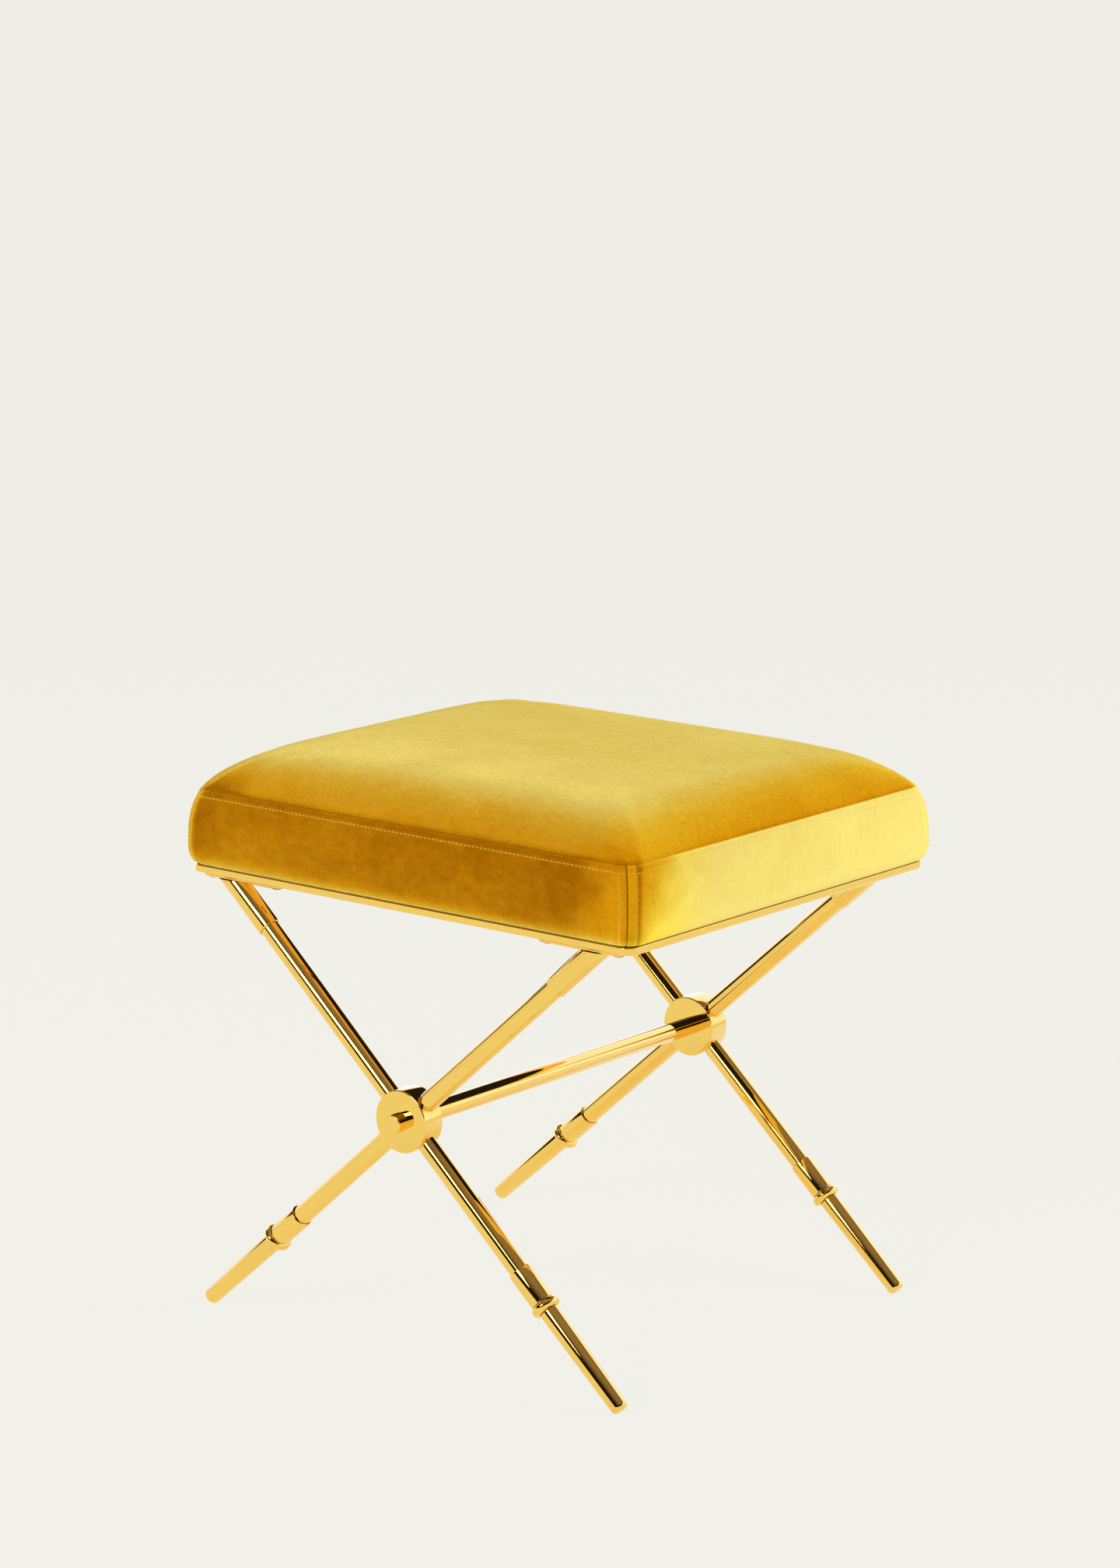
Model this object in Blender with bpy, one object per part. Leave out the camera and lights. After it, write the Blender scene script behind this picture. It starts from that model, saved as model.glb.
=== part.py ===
"""Upholstered bench: a velvet box cushion on a flat-bar frame, carried by two crossed-tube ends.

Metres, +Z up. The origin is on the floor under the middle of the seat. +X runs along the seat's long
side, in the plane of the crossed legs, and -Y is the front.
"""
import math

import bmesh
import bpy
from mathutils import Matrix, Vector

# Clearance between pieces that touch
FIT_GAP = 0.0003

# Seat frame: a ring of polished flat bar
FRAME_LENGTH = 0.446
FRAME_DEPTH = 0.396
FRAME_THICKNESS = 0.006
FRAME_BAR_WIDTH = 0.040
FRAME_CORNER = 0.010
FRAME_WINDOW_CORNER = 0.004
FRAME_EDGE_ROUND = 0.002
FRAME_UNDERSIDE = 0.3636

# Crossed ends: four arms in each hub, and one stretcher through both hubs
HUB_HEIGHT = 0.195
HUB_SIDE_WALL = 0.0025
HUB_CORE_WALL = 0.0073
HUB_EDGE = 0.0007
SOCKET_DEPTH = 0.010
STRETCHER_DIAMETER = 0.0154
STRETCHER_STUB = 0.010
STRETCHER_EDGE = 0.0006
LEG_TOP_INSET = 0.039
LEG_PLANE_INSET = 0.0095

# Arms, as sizes across and as lengths along them
TUBE_DIAMETER = 0.016
TUBE_WALL = 0.0015
SLEEVE_WALL = 0.0012
SLEEVE_EDGE = 0.0004
UPPER_SLEEVE_LENGTH = 0.0515
LOWER_SLEEVE_LENGTH = 0.031
RING_HEIGHT = 0.0038
RING_WIDTH = 0.0075
FOOT_LENGTH = 0.0965
FOOT_TIP_DIAMETER = 0.0138
FOOT_TIP_ROUND = 0.004
FOOT_FLAT = 0.0005
SPIGOT_LENGTH = 0.020

# Flanges at the leg tops, with two screws each
FLANGE_THICKNESS = 0.002
FLANGE_WIDTH = 0.030
FLANGE_CORNER = 0.004
FLANGE_SETBACK = 0.002
FLANGE_END = 0.0055
SCREW_OUTER_REACH = 0.021
SCREW_INNER_REACH = 0.0465
SCREW_SHANK = 0.004
SCREW_HEAD = 0.0085
SCREW_HEAD_HEIGHT = 0.002
SCREW_HEAD_SIDE = 0.0008
SCREW_HEAD_FACE = 0.0056
SCREW_POINT = 0.0014
SCREW_TIP_LENGTH = 0.002
SCREW_TIP_COVER = 0.003

# Seat board and the dust cover under it
BOARD_THICKNESS = 0.012
BOARD_CLEARANCE = 0.0025
BOARD_CORNER = 0.018
DUST_COVER_THICKNESS = 0.0008
DUST_COVER_INSET = 0.010

# Velvet cover. Insets and the bulge are measured from the frame's edge
COVER_THICKNESS = 0.0015
BAND_HEIGHT = 0.062
BOTTOM_INSET = 0.001
BOTTOM_CORNER = 0.0145
BULGE = 0.005
BULGE_CORNER = 0.0135
SEAM_INSET = 0.002
SEAM_CORNER = 0.016
SIDE_DRAW = 3.0
HEM_WIDTH = 0.022
HEM_FOLD = 0.003
CROWN = 0.0375
CROWN_FLATNESS = 4.0
CROWN_FULLNESS = 0.35
CORNER_TUCK = 17.0

# Mesh fineness, in counts
ROUND_STEPS = 24
SCREW_STEPS = 12
TIP_STEPS = 4
RING_STEPS = 6
EDGE_STEPS = 2
PLATE_CORNER_STEPS = 3
COVER_CORNER_STEPS = 2
COVER_STRAIGHT_STEPS = 6
BAND_LOWER_ROWS = 3
BAND_UPPER_ROWS = 5
PANEL_RINGS = 8
PANEL_CROWDING = 2.2
SMOOTH_ANGLE = math.radians(35)

# Heights, from the frame upwards
FRAME_TOP = FRAME_UNDERSIDE + FRAME_THICKNESS
DUST_COVER_BOTTOM = FRAME_TOP + FIT_GAP
HEM_BOTTOM = DUST_COVER_BOTTOM + DUST_COVER_THICKNESS + FIT_GAP
BOARD_BOTTOM = HEM_BOTTOM + COVER_THICKNESS + FIT_GAP
BOARD_TOP = BOARD_BOTTOM + BOARD_THICKNESS
FOAM_BOTTOM = BOARD_TOP + FIT_GAP
SEAM_HEIGHT = FRAME_TOP + BAND_HEIGHT

# Heights, from the frame downwards
FLANGE_TOP = FRAME_UNDERSIDE - FIT_GAP
FLANGE_BOTTOM = FLANGE_TOP - FLANGE_THICKNESS
LEG_TOP = FLANGE_BOTTOM - FIT_GAP
SCREW_HEAD_TOP = FLANGE_BOTTOM - FIT_GAP

# Where the arms run. They are straight through the hub, so one angle serves all of them
LEG_TOP_X = FRAME_LENGTH / 2 - LEG_TOP_INSET
LEG_PLANE_Y = FRAME_DEPTH / 2 - LEG_PLANE_INSET
LEG_ANGLE = math.atan2(LEG_TOP_X, LEG_TOP - HUB_HEIGHT)
UPPER_LENGTH = (LEG_TOP - HUB_HEIGHT) / math.cos(LEG_ANGLE)

# Radii that fit into or onto each other
TUBE_RADIUS = TUBE_DIAMETER / 2
TUBE_BORE = TUBE_RADIUS - TUBE_WALL
SPIGOT_RADIUS = TUBE_BORE - FIT_GAP
COLLAR_BORE = TUBE_RADIUS + FIT_GAP
SLEEVE_RADIUS = COLLAR_BORE + SLEEVE_WALL
STRETCHER_RADIUS = STRETCHER_DIAMETER / 2
STRETCHER_BORE = STRETCHER_RADIUS + FIT_GAP
SOCKET_FLOOR = STRETCHER_BORE + HUB_CORE_WALL
HUB_RADIUS = SOCKET_FLOOR + SOCKET_DEPTH
HUB_WIDTH = 2 * (COLLAR_BORE + HUB_SIDE_WALL)
TUBE_START = SOCKET_FLOOR + FIT_GAP
SCREW_HOLE = SCREW_SHANK / 2 + FIT_GAP

# Stations along a lower arm, from the hub's centre. The tip's rounding dips FOOT_FLAT below the floor
TIP_RADIUS = FOOT_TIP_DIAMETER / 2
TIP_ROUND = min(FOOT_TIP_ROUND, TIP_RADIUS)
TIP_DROP = TIP_ROUND + (TIP_RADIUS - TIP_ROUND) * math.sin(LEG_ANGLE)
TIP_CENTRE = (HUB_HEIGHT + FOOT_FLAT - TIP_DROP) / math.cos(LEG_ANGLE)
FOOT_START = TIP_CENTRE + TIP_ROUND - FOOT_LENGTH
TUBE_END = FOOT_START - FIT_GAP
RING_START = TUBE_END - RING_WIDTH
LOWER_SLEEVE_END = RING_START - FIT_GAP
LOWER_SLEEVE_START = LOWER_SLEEVE_END - LOWER_SLEEVE_LENGTH

# Corners of the bench: name, side along X and side along Y
CORNERS = (("front_left", -1, -1), ("front_right", 1, -1), ("back_left", -1, 1), ("back_right", 1, 1))


def clear_scene():
    """Remove whatever the scene holds."""
    for obj in list(bpy.data.objects):
        bpy.data.objects.remove(obj, do_unlink=True)


def make_material(name, colour, roughness, metallic):
    """A Principled material with one colour."""
    material = bpy.data.materials.new(name)
    material.use_nodes = True
    shader = material.node_tree.nodes["Principled BSDF"]
    shader.inputs["Base Color"].default_value = (*colour, 1.0)
    shader.inputs["Roughness"].default_value = roughness
    shader.inputs["Metallic"].default_value = metallic
    return material


def circle(radius, station, slope=0.0, steps=ROUND_STEPS):
    """Loop round the local Z axis. A slope tilts the loop's plane along local X."""
    loop = []
    for step in range(steps):
        angle = 2 * math.pi * step / steps
        across = radius * math.cos(angle)
        loop.append(Vector((across, radius * math.sin(angle), station + slope * across)))
    return loop


def rounded_loop(half_x, half_y, radius, height, corner_steps, straight_steps):
    """Rounded rectangle, counter-clockwise from the middle of its front left corner."""
    signs = ((-1, -1), (1, -1), (1, 1), (-1, 1))

    def on_corner(sign, angle):
        x = sign[0] * (half_x - radius) + radius * math.cos(angle)
        y = sign[1] * (half_y - radius) + radius * math.sin(angle)
        return Vector((x, y, height))

    loop = []
    eighth = math.pi / 4
    for side in range(4):
        here = signs[side]
        there = signs[(side + 1) % 4]
        square = (6 + 2 * side) * eighth
        for step in range(corner_steps):
            loop.append(on_corner(here, square - eighth + eighth * step / corner_steps))
        for step in range(straight_steps):
            start = on_corner(here, square)
            loop.append(start.lerp(on_corner(there, square), step / straight_steps))
        for step in range(corner_steps):
            loop.append(on_corner(there, square + eighth * step / corner_steps))
    return loop


def add_rows(bm, rows):
    """Vertices for a list of point rows."""
    return [[bm.verts.new(point) for point in row] for row in rows]


def join_rows(bm, first, second, wrap):
    """Quads between two rows of vertices."""
    count = len(first)
    last = count if wrap else count - 1
    for index in range(last):
        after = (index + 1) % count
        bm.faces.new((first[index], first[after], second[after], second[index]))


def fan(bm, row, point):
    """Triangles from a closed row to one point."""
    centre = bm.verts.new(point)
    for index, vertex in enumerate(row):
        bm.faces.new((vertex, row[(index + 1) % len(row)], centre))


def add_loft(bm, loops, ring=False):
    """Skin over closed loops. A ring joins its last loop to its first, and the rest get flat ends."""
    rows = add_rows(bm, loops)
    for first, second in zip(rows, rows[1:]):
        join_rows(bm, first, second, True)
    if ring:
        join_rows(bm, rows[-1], rows[0], True)
    else:
        bm.faces.new(rows[0])
        bm.faces.new(rows[-1])


def finish_mesh(bm, name, material):
    """Mesh from a bmesh, with its faces pointing out and its round faces shaded smooth."""
    bmesh.ops.recalc_face_normals(bm, faces=bm.faces)
    mesh = bpy.data.meshes.new(name)
    bm.to_mesh(mesh)
    bm.free()
    if material:
        mesh.materials.append(material)
    mesh.shade_smooth()
    mesh.set_sharp_from_angle(angle=SMOOTH_ANGLE)
    return mesh


def loft_mesh(name, loops, material, ring=False):
    """Mesh of one lofted piece."""
    bm = bmesh.new()
    add_loft(bm, loops, ring)
    return finish_mesh(bm, name, material)


def place(name, mesh, location=(0, 0, 0), rotation=(0, 0, 0)):
    """Object of a mesh in the scene."""
    obj = bpy.data.objects.new(name, mesh)
    obj.location = location
    obj.rotation_euler = rotation
    bpy.context.scene.collection.objects.link(obj)
    return obj


def as_cutter(obj):
    """Mark an object as a guide that only cuts others."""
    obj.hide_render = True
    obj.display_type = "WIRE"
    return obj


def cut(obj, cutter):
    """Subtract a cutter from an object."""
    boolean = obj.modifiers.new("cut", "BOOLEAN")
    boolean.operation = "DIFFERENCE"
    boolean.solver = "EXACT"
    boolean.object = cutter


def plate_loops(half_x, half_y, radius, bottom, top):
    """Two loops of a flat plate with rounded corners."""
    return [rounded_loop(half_x, half_y, radius, height, PLATE_CORNER_STEPS, 1)
            for height in (bottom, top)]


def frame_loops():
    """Section of the flat bar, run round the seat frame."""
    half_x = FRAME_LENGTH / 2
    half_y = FRAME_DEPTH / 2
    window = [
        rounded_loop(half_x - FRAME_BAR_WIDTH, half_y - FRAME_BAR_WIDTH, FRAME_WINDOW_CORNER, height,
                     PLATE_CORNER_STEPS, 1)
        for height in (FRAME_TOP, FRAME_UNDERSIDE)
    ]
    edge = []
    for centre, first in ((FRAME_UNDERSIDE + FRAME_EDGE_ROUND, -90), (FRAME_TOP - FRAME_EDGE_ROUND, 0)):
        for step in range(EDGE_STEPS + 1):
            angle = math.radians(first + 90 * step / EDGE_STEPS)
            inset = FRAME_EDGE_ROUND * (1 - math.cos(angle))
            height = centre + FRAME_EDGE_ROUND * math.sin(angle)
            edge.append(rounded_loop(half_x - inset, half_y - inset, FRAME_CORNER - inset, height,
                                     PLATE_CORNER_STEPS, 1))
    return edge + window


def tube_loops(outer, inner, start, end, end_slope=0.0):
    """Hollow tube along local Z, cut square at its start."""
    return [circle(outer, start), circle(outer, end, end_slope),
            circle(inner, end, end_slope), circle(inner, start)]


def sleeve_loops(start, end, end_slope=0.0, end_edge=0.0):
    """Sleeve over a tube, with a broken edge where it starts and, if asked, where it ends."""
    loops = [circle(COLLAR_BORE, start), circle(SLEEVE_RADIUS - SLEEVE_EDGE, start),
             circle(SLEEVE_RADIUS, start + SLEEVE_EDGE), circle(SLEEVE_RADIUS, end - end_edge, end_slope)]
    if end_edge:
        loops.append(circle(SLEEVE_RADIUS - end_edge, end))
    loops.append(circle(COLLAR_BORE, end, end_slope))
    return loops


def ring_loops():
    """Half-round bead round the tube's lower end."""
    loops = []
    for step in range(RING_STEPS + 1):
        angle = math.pi * step / RING_STEPS
        station = RING_START + RING_WIDTH * (1 - math.cos(angle)) / 2
        loops.append(circle(COLLAR_BORE + RING_HEIGHT * math.sin(angle), station))
    loops[0] = circle(COLLAR_BORE, RING_START)
    loops[-1] = circle(COLLAR_BORE, RING_START + RING_WIDTH)
    return loops


def foot_mesh(material):
    """Tapered foot with a spigot for the tube's bore, a rounded tip and a flat where it stands."""
    loops = [circle(SPIGOT_RADIUS, FOOT_START - SPIGOT_LENGTH), circle(SPIGOT_RADIUS, FOOT_START),
             circle(TUBE_RADIUS, FOOT_START)]
    for step in range(TIP_STEPS + 1):
        angle = math.pi / 2 * step / TIP_STEPS
        radius = TIP_RADIUS - TIP_ROUND * (1 - math.cos(angle))
        loops.append(circle(radius, TIP_CENTRE + TIP_ROUND * math.sin(angle)))
    bm = bmesh.new()
    add_loft(bm, loops)
    floor_normal = Vector((math.sin(LEG_ANGLE), 0, math.cos(LEG_ANGLE)))
    geometry = bm.verts[:] + bm.edges[:] + bm.faces[:]
    bmesh.ops.bisect_plane(bm, geom=geometry, plane_co=floor_normal * HUB_HEIGHT, plane_no=floor_normal,
                           clear_outer=True)
    bmesh.ops.edgeloop_fill(bm, edges=[edge for edge in bm.edges if edge.is_boundary])
    return finish_mesh(bm, "foot", material)


def turned_rod_loops(radius, half_length, edge):
    """Rod along local Z, with both ends' edges broken."""
    return [circle(radius - edge, -half_length), circle(radius, edge - half_length),
            circle(radius, half_length - edge), circle(radius - edge, half_length)]


def hub_cutter_mesh():
    """Bore for the stretcher along Y and the four arm sockets, in the hub's own place."""
    bm = bmesh.new()
    through = [circle(STRETCHER_BORE, -HUB_WIDTH), circle(STRETCHER_BORE, HUB_WIDTH)]
    socket = [circle(COLLAR_BORE, SOCKET_FLOOR), circle(COLLAR_BORE, HUB_RADIUS + SOCKET_DEPTH)]
    turns = [(through, Matrix.Rotation(math.pi / 2, 3, "X"))]
    for angle in (LEG_ANGLE, -LEG_ANGLE, math.pi - LEG_ANGLE, LEG_ANGLE - math.pi):
        turns.append((socket, Matrix.Rotation(angle, 3, "Y")))
    for loops, turn in turns:
        add_loft(bm, [[turn @ point for point in loop] for loop in loops])
    return finish_mesh(bm, "hub_cutter", None)


def screw_places():
    """Name and place of each flange screw."""
    places = []
    for name, side_x, side_y in CORNERS:
        for end, reach in (("outer", SCREW_OUTER_REACH), ("inner", -SCREW_INNER_REACH)):
            places.append((f"{name}_{end}", side_x * (LEG_TOP_X + reach), side_y * LEG_PLANE_Y))
    return places


def screw_loops():
    """Pan-head screw standing on its head, with its seat at local zero."""
    tip = BOARD_TOP - SCREW_TIP_COVER - SCREW_HEAD_TOP
    profile = [(SCREW_HEAD_FACE, -SCREW_HEAD_HEIGHT), (SCREW_HEAD, -SCREW_HEAD_SIDE), (SCREW_HEAD, 0),
               (SCREW_SHANK, 0), (SCREW_SHANK, tip - SCREW_TIP_LENGTH), (SCREW_POINT, tip)]
    return [circle(diameter / 2, station, steps=SCREW_STEPS) for diameter, station in profile]


def screw_cutter_mesh():
    """Clearance holes for all the screws, from under the flanges up into the board."""
    bm = bmesh.new()
    bottom = FLANGE_BOTTOM - FLANGE_THICKNESS
    top = BOARD_TOP - SCREW_TIP_COVER + FIT_GAP
    for _, x, y in screw_places():
        loops = [circle(SCREW_HOLE, height, steps=SCREW_STEPS) for height in (bottom, top)]
        add_loft(bm, [[point + Vector((x, y, 0)) for point in loop] for loop in loops])
    return finish_mesh(bm, "screw_cutter", None)


def cover_loop(offset, corner, height):
    """Loop of the cover at one height, offset from the frame's edge."""
    return rounded_loop(FRAME_LENGTH / 2 + offset, FRAME_DEPTH / 2 + offset, corner, height,
                        COVER_CORNER_STEPS, COVER_STRAIGHT_STEPS)


def hem_rows():
    """Cover turned under the board: the hem's inner edge, its flat and the fold."""
    fold_inset = BOTTOM_INSET + HEM_FOLD
    slant = HEM_FOLD * (1 - math.sqrt(0.5))
    hem_inset = BOTTOM_INSET + HEM_WIDTH
    return [cover_loop(-hem_inset, BOTTOM_CORNER - HEM_FOLD, HEM_BOTTOM),
            cover_loop(-fold_inset, BOTTOM_CORNER - HEM_FOLD, HEM_BOTTOM),
            cover_loop(-BOTTOM_INSET - slant, BOTTOM_CORNER - slant, HEM_BOTTOM + slant),
            cover_loop(-BOTTOM_INSET, BOTTOM_CORNER, HEM_BOTTOM + HEM_FOLD)]


def lower_side_row(fraction):
    """Cover's side from the fold up to its widest line at the foam's foot: a quarter ellipse."""
    fold_top = HEM_BOTTOM + HEM_FOLD
    angle = math.pi / 2 * fraction
    offset = (BULGE + BOTTOM_INSET) * math.sin(angle) - BOTTOM_INSET
    corner = BOTTOM_CORNER + (BULGE_CORNER - BOTTOM_CORNER) * math.sin(angle)
    return cover_loop(offset, corner, fold_top + (FOAM_BOTTOM - fold_top) * (1 - math.cos(angle)))


def upper_side_row(fraction):
    """Cover's side above its widest line, drawn in towards the top seam."""
    share = fraction ** SIDE_DRAW
    offset = BULGE - (BULGE + SEAM_INSET) * share
    corner = BULGE_CORNER + (SEAM_CORNER - BULGE_CORNER) * share
    return cover_loop(offset, corner, FOAM_BOTTOM + (SEAM_HEIGHT - FOAM_BOTTOM) * fraction)


def crown_share(x, y):
    """Height of the crown at a place on the seat, from 0 at the sides to 1 in the middle."""
    along = 1 - abs(x / (FRAME_LENGTH / 2 - SEAM_INSET)) ** CROWN_FLATNESS
    across = 1 - abs(y / (FRAME_DEPTH / 2 - SEAM_INSET)) ** CROWN_FLATNESS
    return (max(along, 0) * max(across, 0)) ** CROWN_FULLNESS


def panel_row(seam, fraction):
    """Ring of the top panel, a fraction of the way from the seam to the middle.

    The crown meets the seam on the straight sides, and a tuck that dies out inwards brings it down to the
    seam at the rounded corners.
    """
    row = []
    kept = 1 - fraction
    for point in seam:
        x = point.x * kept
        y = point.y * kept
        tuck = crown_share(point.x, point.y) * kept ** CORNER_TUCK
        row.append(Vector((x, y, SEAM_HEIGHT + CROWN * (crown_share(x, y) - tuck))))
    return row


def cover_surface():
    """Outer face of the whole cover in rows of points, with the rows of the foam's foot and the seam."""
    rows = hem_rows()
    rows += [lower_side_row(step / BAND_LOWER_ROWS) for step in range(1, BAND_LOWER_ROWS + 1)]
    foam_row = len(rows) - 1
    rows += [upper_side_row(step / BAND_UPPER_ROWS) for step in range(1, BAND_UPPER_ROWS + 1)]
    seam_row = len(rows) - 1
    seam = rows[seam_row]
    for ring in range(1, PANEL_RINGS):
        rows.append(panel_row(seam, (ring / PANEL_RINGS) ** PANEL_CROWDING))
    return rows, foam_row, seam_row


def outward(rows):
    """Unit normals of a surface of closed rows, from the neighbours of each point."""
    normals = []
    for number, row in enumerate(rows):
        below = rows[max(number - 1, 0)]
        above = rows[min(number + 1, len(rows) - 1)]
        count = len(row)
        normals.append([
            (row[(index + 1) % count] - row[index - 1]).cross(above[index] - below[index]).normalized()
            for index in range(count)
        ])
    return normals


def sunk(rows, normals, depth):
    """Rows moved inwards by a depth."""
    return [[point - normal * depth for point, normal in zip(*pair)] for pair in zip(rows, normals)]


def sunk_level(row, normals, depth):
    """Row moved inwards by a depth, at its own height."""
    level = []
    for point, normal in zip(row, normals):
        flat = Vector((normal.x, normal.y, 0))
        level.append(point - flat * (depth / flat.length_squared))
    return level


def eased(edge, neighbour):
    """Edge row drawn back towards its neighbour by half the seam's gap."""
    return [point + (near - point).normalized() * FIT_GAP / 2 for point, near in zip(edge, neighbour)]


def band_mesh(name, outer, inner, material):
    """Boxing band: a sheet between two grids, open at all four sides of the cloth."""
    bm = bmesh.new()
    out_rows = add_rows(bm, outer)
    in_rows = add_rows(bm, inner)
    for rows in (out_rows, in_rows):
        for first, second in zip(rows, rows[1:]):
            join_rows(bm, first, second, False)
    join_rows(bm, out_rows[0], in_rows[0], False)
    join_rows(bm, out_rows[-1], in_rows[-1], False)
    for end in (0, -1):
        join_rows(bm, [row[end] for row in out_rows], [row[end] for row in in_rows], False)
    return finish_mesh(bm, name, material)


def panel_mesh(outer, inner, material):
    """Crowned top panel: two skins joined round the seam."""
    bm = bmesh.new()
    crown_top = Vector((0, 0, SEAM_HEIGHT + CROWN))
    skins = []
    for rows, drop in ((outer, 0), (inner, COVER_THICKNESS)):
        skin = add_rows(bm, rows)
        for first, second in zip(skin, skin[1:]):
            join_rows(bm, first, second, True)
        fan(bm, skin[-1], crown_top - Vector((0, 0, drop)))
        skins.append(skin)
    join_rows(bm, skins[0][0], skins[1][0], True)
    return finish_mesh(bm, "velvet_top", material)


def foam_mesh(rows, material):
    """Foam block with the cover's form, flat on the board."""
    bm = bmesh.new()
    skin = add_rows(bm, rows)
    for first, second in zip(skin, skin[1:]):
        join_rows(bm, first, second, True)
    bm.faces.new(skin[0])
    fan(bm, skin[-1], Vector((0, 0, SEAM_HEIGHT + CROWN - COVER_THICKNESS - FIT_GAP)))
    return finish_mesh(bm, "foam_core", material)


def build_ends(gold):
    """Hubs, arms, rings and feet of the two crossed ends, and the stretcher between them."""
    slope = math.tan(LEG_ANGLE)
    upper = {
        "upper_tube": loft_mesh("upper_tube",
                                tube_loops(TUBE_RADIUS, TUBE_BORE, TUBE_START, UPPER_LENGTH, slope),
                                gold, ring=True),
        "upper_sleeve": loft_mesh("upper_sleeve",
                                  sleeve_loops(UPPER_LENGTH - UPPER_SLEEVE_LENGTH, UPPER_LENGTH, slope),
                                  gold, ring=True),
    }
    lower = {
        "lower_tube": loft_mesh("lower_tube", tube_loops(TUBE_RADIUS, TUBE_BORE, TUBE_START, TUBE_END),
                                gold, ring=True),
        "lower_sleeve": loft_mesh("lower_sleeve",
                                  sleeve_loops(LOWER_SLEEVE_START, LOWER_SLEEVE_END, end_edge=SLEEVE_EDGE),
                                  gold, ring=True),
        "ring_bead": loft_mesh("ring_bead", ring_loops(), gold, ring=True),
        "foot": foot_mesh(gold),
    }
    for name, side_x, side_y in CORNERS:
        hub_centre = (0, side_y * LEG_PLANE_Y, HUB_HEIGHT)
        half_turn = 0 if side_x > 0 else math.pi
        for pieces, tilt in ((upper, LEG_ANGLE), (lower, math.pi - LEG_ANGLE)):
            for piece, mesh in pieces.items():
                place(f"{piece}_{name}", mesh, hub_centre, (0, tilt, half_turn))

    along_y = (math.pi / 2, 0, 0)
    hub = loft_mesh("hub", turned_rod_loops(HUB_RADIUS, HUB_WIDTH / 2, HUB_EDGE), gold)
    cutter = hub_cutter_mesh()
    for name, side_y in (("front", -1), ("back", 1)):
        hub_centre = (0, side_y * LEG_PLANE_Y, HUB_HEIGHT)
        drum = place(f"hub_{name}", hub, hub_centre, along_y)
        cut(drum, as_cutter(place(f"hub_cutter_{name}", cutter, hub_centre)))
    half_length = LEG_PLANE_Y + HUB_WIDTH / 2 + STRETCHER_STUB
    stretcher = loft_mesh("stretcher", turned_rod_loops(STRETCHER_RADIUS, half_length, STRETCHER_EDGE), gold)
    place("stretcher", stretcher, (0, 0, HUB_HEIGHT), along_y)


def build_seat_frame(gold, screw_metal, screw_holes):
    """Flat-bar ring, the flanges under it and their screws."""
    frame = place("seat_frame", loft_mesh("seat_frame", frame_loops(), gold, ring=True))
    cut(frame, screw_holes)
    outer_end = LEG_TOP_X + SCREW_OUTER_REACH + FLANGE_END
    inner_end = LEG_TOP_X - SCREW_INNER_REACH - FLANGE_END
    centre_x = (outer_end + inner_end) / 2
    centre_y = FRAME_DEPTH / 2 - FLANGE_SETBACK - FLANGE_WIDTH / 2
    loops = plate_loops((outer_end - inner_end) / 2, FLANGE_WIDTH / 2, FLANGE_CORNER,
                        FLANGE_BOTTOM, FLANGE_TOP)
    flange_mesh = loft_mesh("flange", loops, gold)
    for name, side_x, side_y in CORNERS:
        flange = place(f"flange_{name}", flange_mesh, (side_x * centre_x, side_y * centre_y, 0))
        cut(flange, screw_holes)
    screw_mesh = loft_mesh("screw", screw_loops(), screw_metal)
    for name, x, y in screw_places():
        place(f"screw_{name}", screw_mesh, (x, y, SCREW_HEAD_TOP))


def build_seat(velvet, foam, plywood, dust_cloth, screw_holes):
    """Dust cover, board, foam and the velvet cover's five panels."""
    half_x = FRAME_LENGTH / 2
    half_y = FRAME_DEPTH / 2
    dust_loops = plate_loops(half_x - DUST_COVER_INSET, half_y - DUST_COVER_INSET, FRAME_CORNER,
                             DUST_COVER_BOTTOM, DUST_COVER_BOTTOM + DUST_COVER_THICKNESS)
    cut(place("dust_cover", loft_mesh("dust_cover", dust_loops, dust_cloth)), screw_holes)
    board_inset = BOTTOM_INSET + COVER_THICKNESS + BOARD_CLEARANCE
    board_loops = plate_loops(half_x - board_inset, half_y - board_inset, BOARD_CORNER,
                              BOARD_BOTTOM, BOARD_TOP)
    cut(place("seat_board", loft_mesh("seat_board", board_loops, plywood)), screw_holes)

    rows, foam_row, seam_row = cover_surface()
    normals = outward(rows)
    foam_depth = COVER_THICKNESS + FIT_GAP
    foam_rows = sunk(rows[foam_row:], normals[foam_row:], foam_depth)
    foam_rows[0] = sunk_level(rows[foam_row], normals[foam_row], foam_depth)
    place("foam_core", foam_mesh(foam_rows, foam))

    top_rows = [eased(rows[seam_row], rows[seam_row + 1])] + rows[seam_row + 1:]
    top_inner = sunk(top_rows, normals[seam_row:], COVER_THICKNESS)
    place("velvet_top", panel_mesh(top_rows, top_inner, velvet))

    band_rows = rows[:seam_row] + [eased(rows[seam_row], rows[seam_row - 1])]
    band_inner = sunk(band_rows, normals, COVER_THICKNESS)
    per_side = 2 * COVER_CORNER_STEPS + COVER_STRAIGHT_STEPS
    for side, name in enumerate(("front", "right", "back", "left")):
        grids = []
        for surface in (band_rows, band_inner):
            grid = []
            for row in surface:
                run = [row[(side * per_side + index) % len(row)] for index in range(per_side + 1)]
                first = eased(run[:1], run[1:2])
                last = eased(run[-1:], run[-2:-1])
                grid.append(first + run[1:-1] + last)
            grids.append(grid)
        band = place(f"velvet_band_{name}", band_mesh(f"velvet_band_{name}", *grids, velvet))
        if name in ("front", "back"):
            cut(band, screw_holes)


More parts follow.
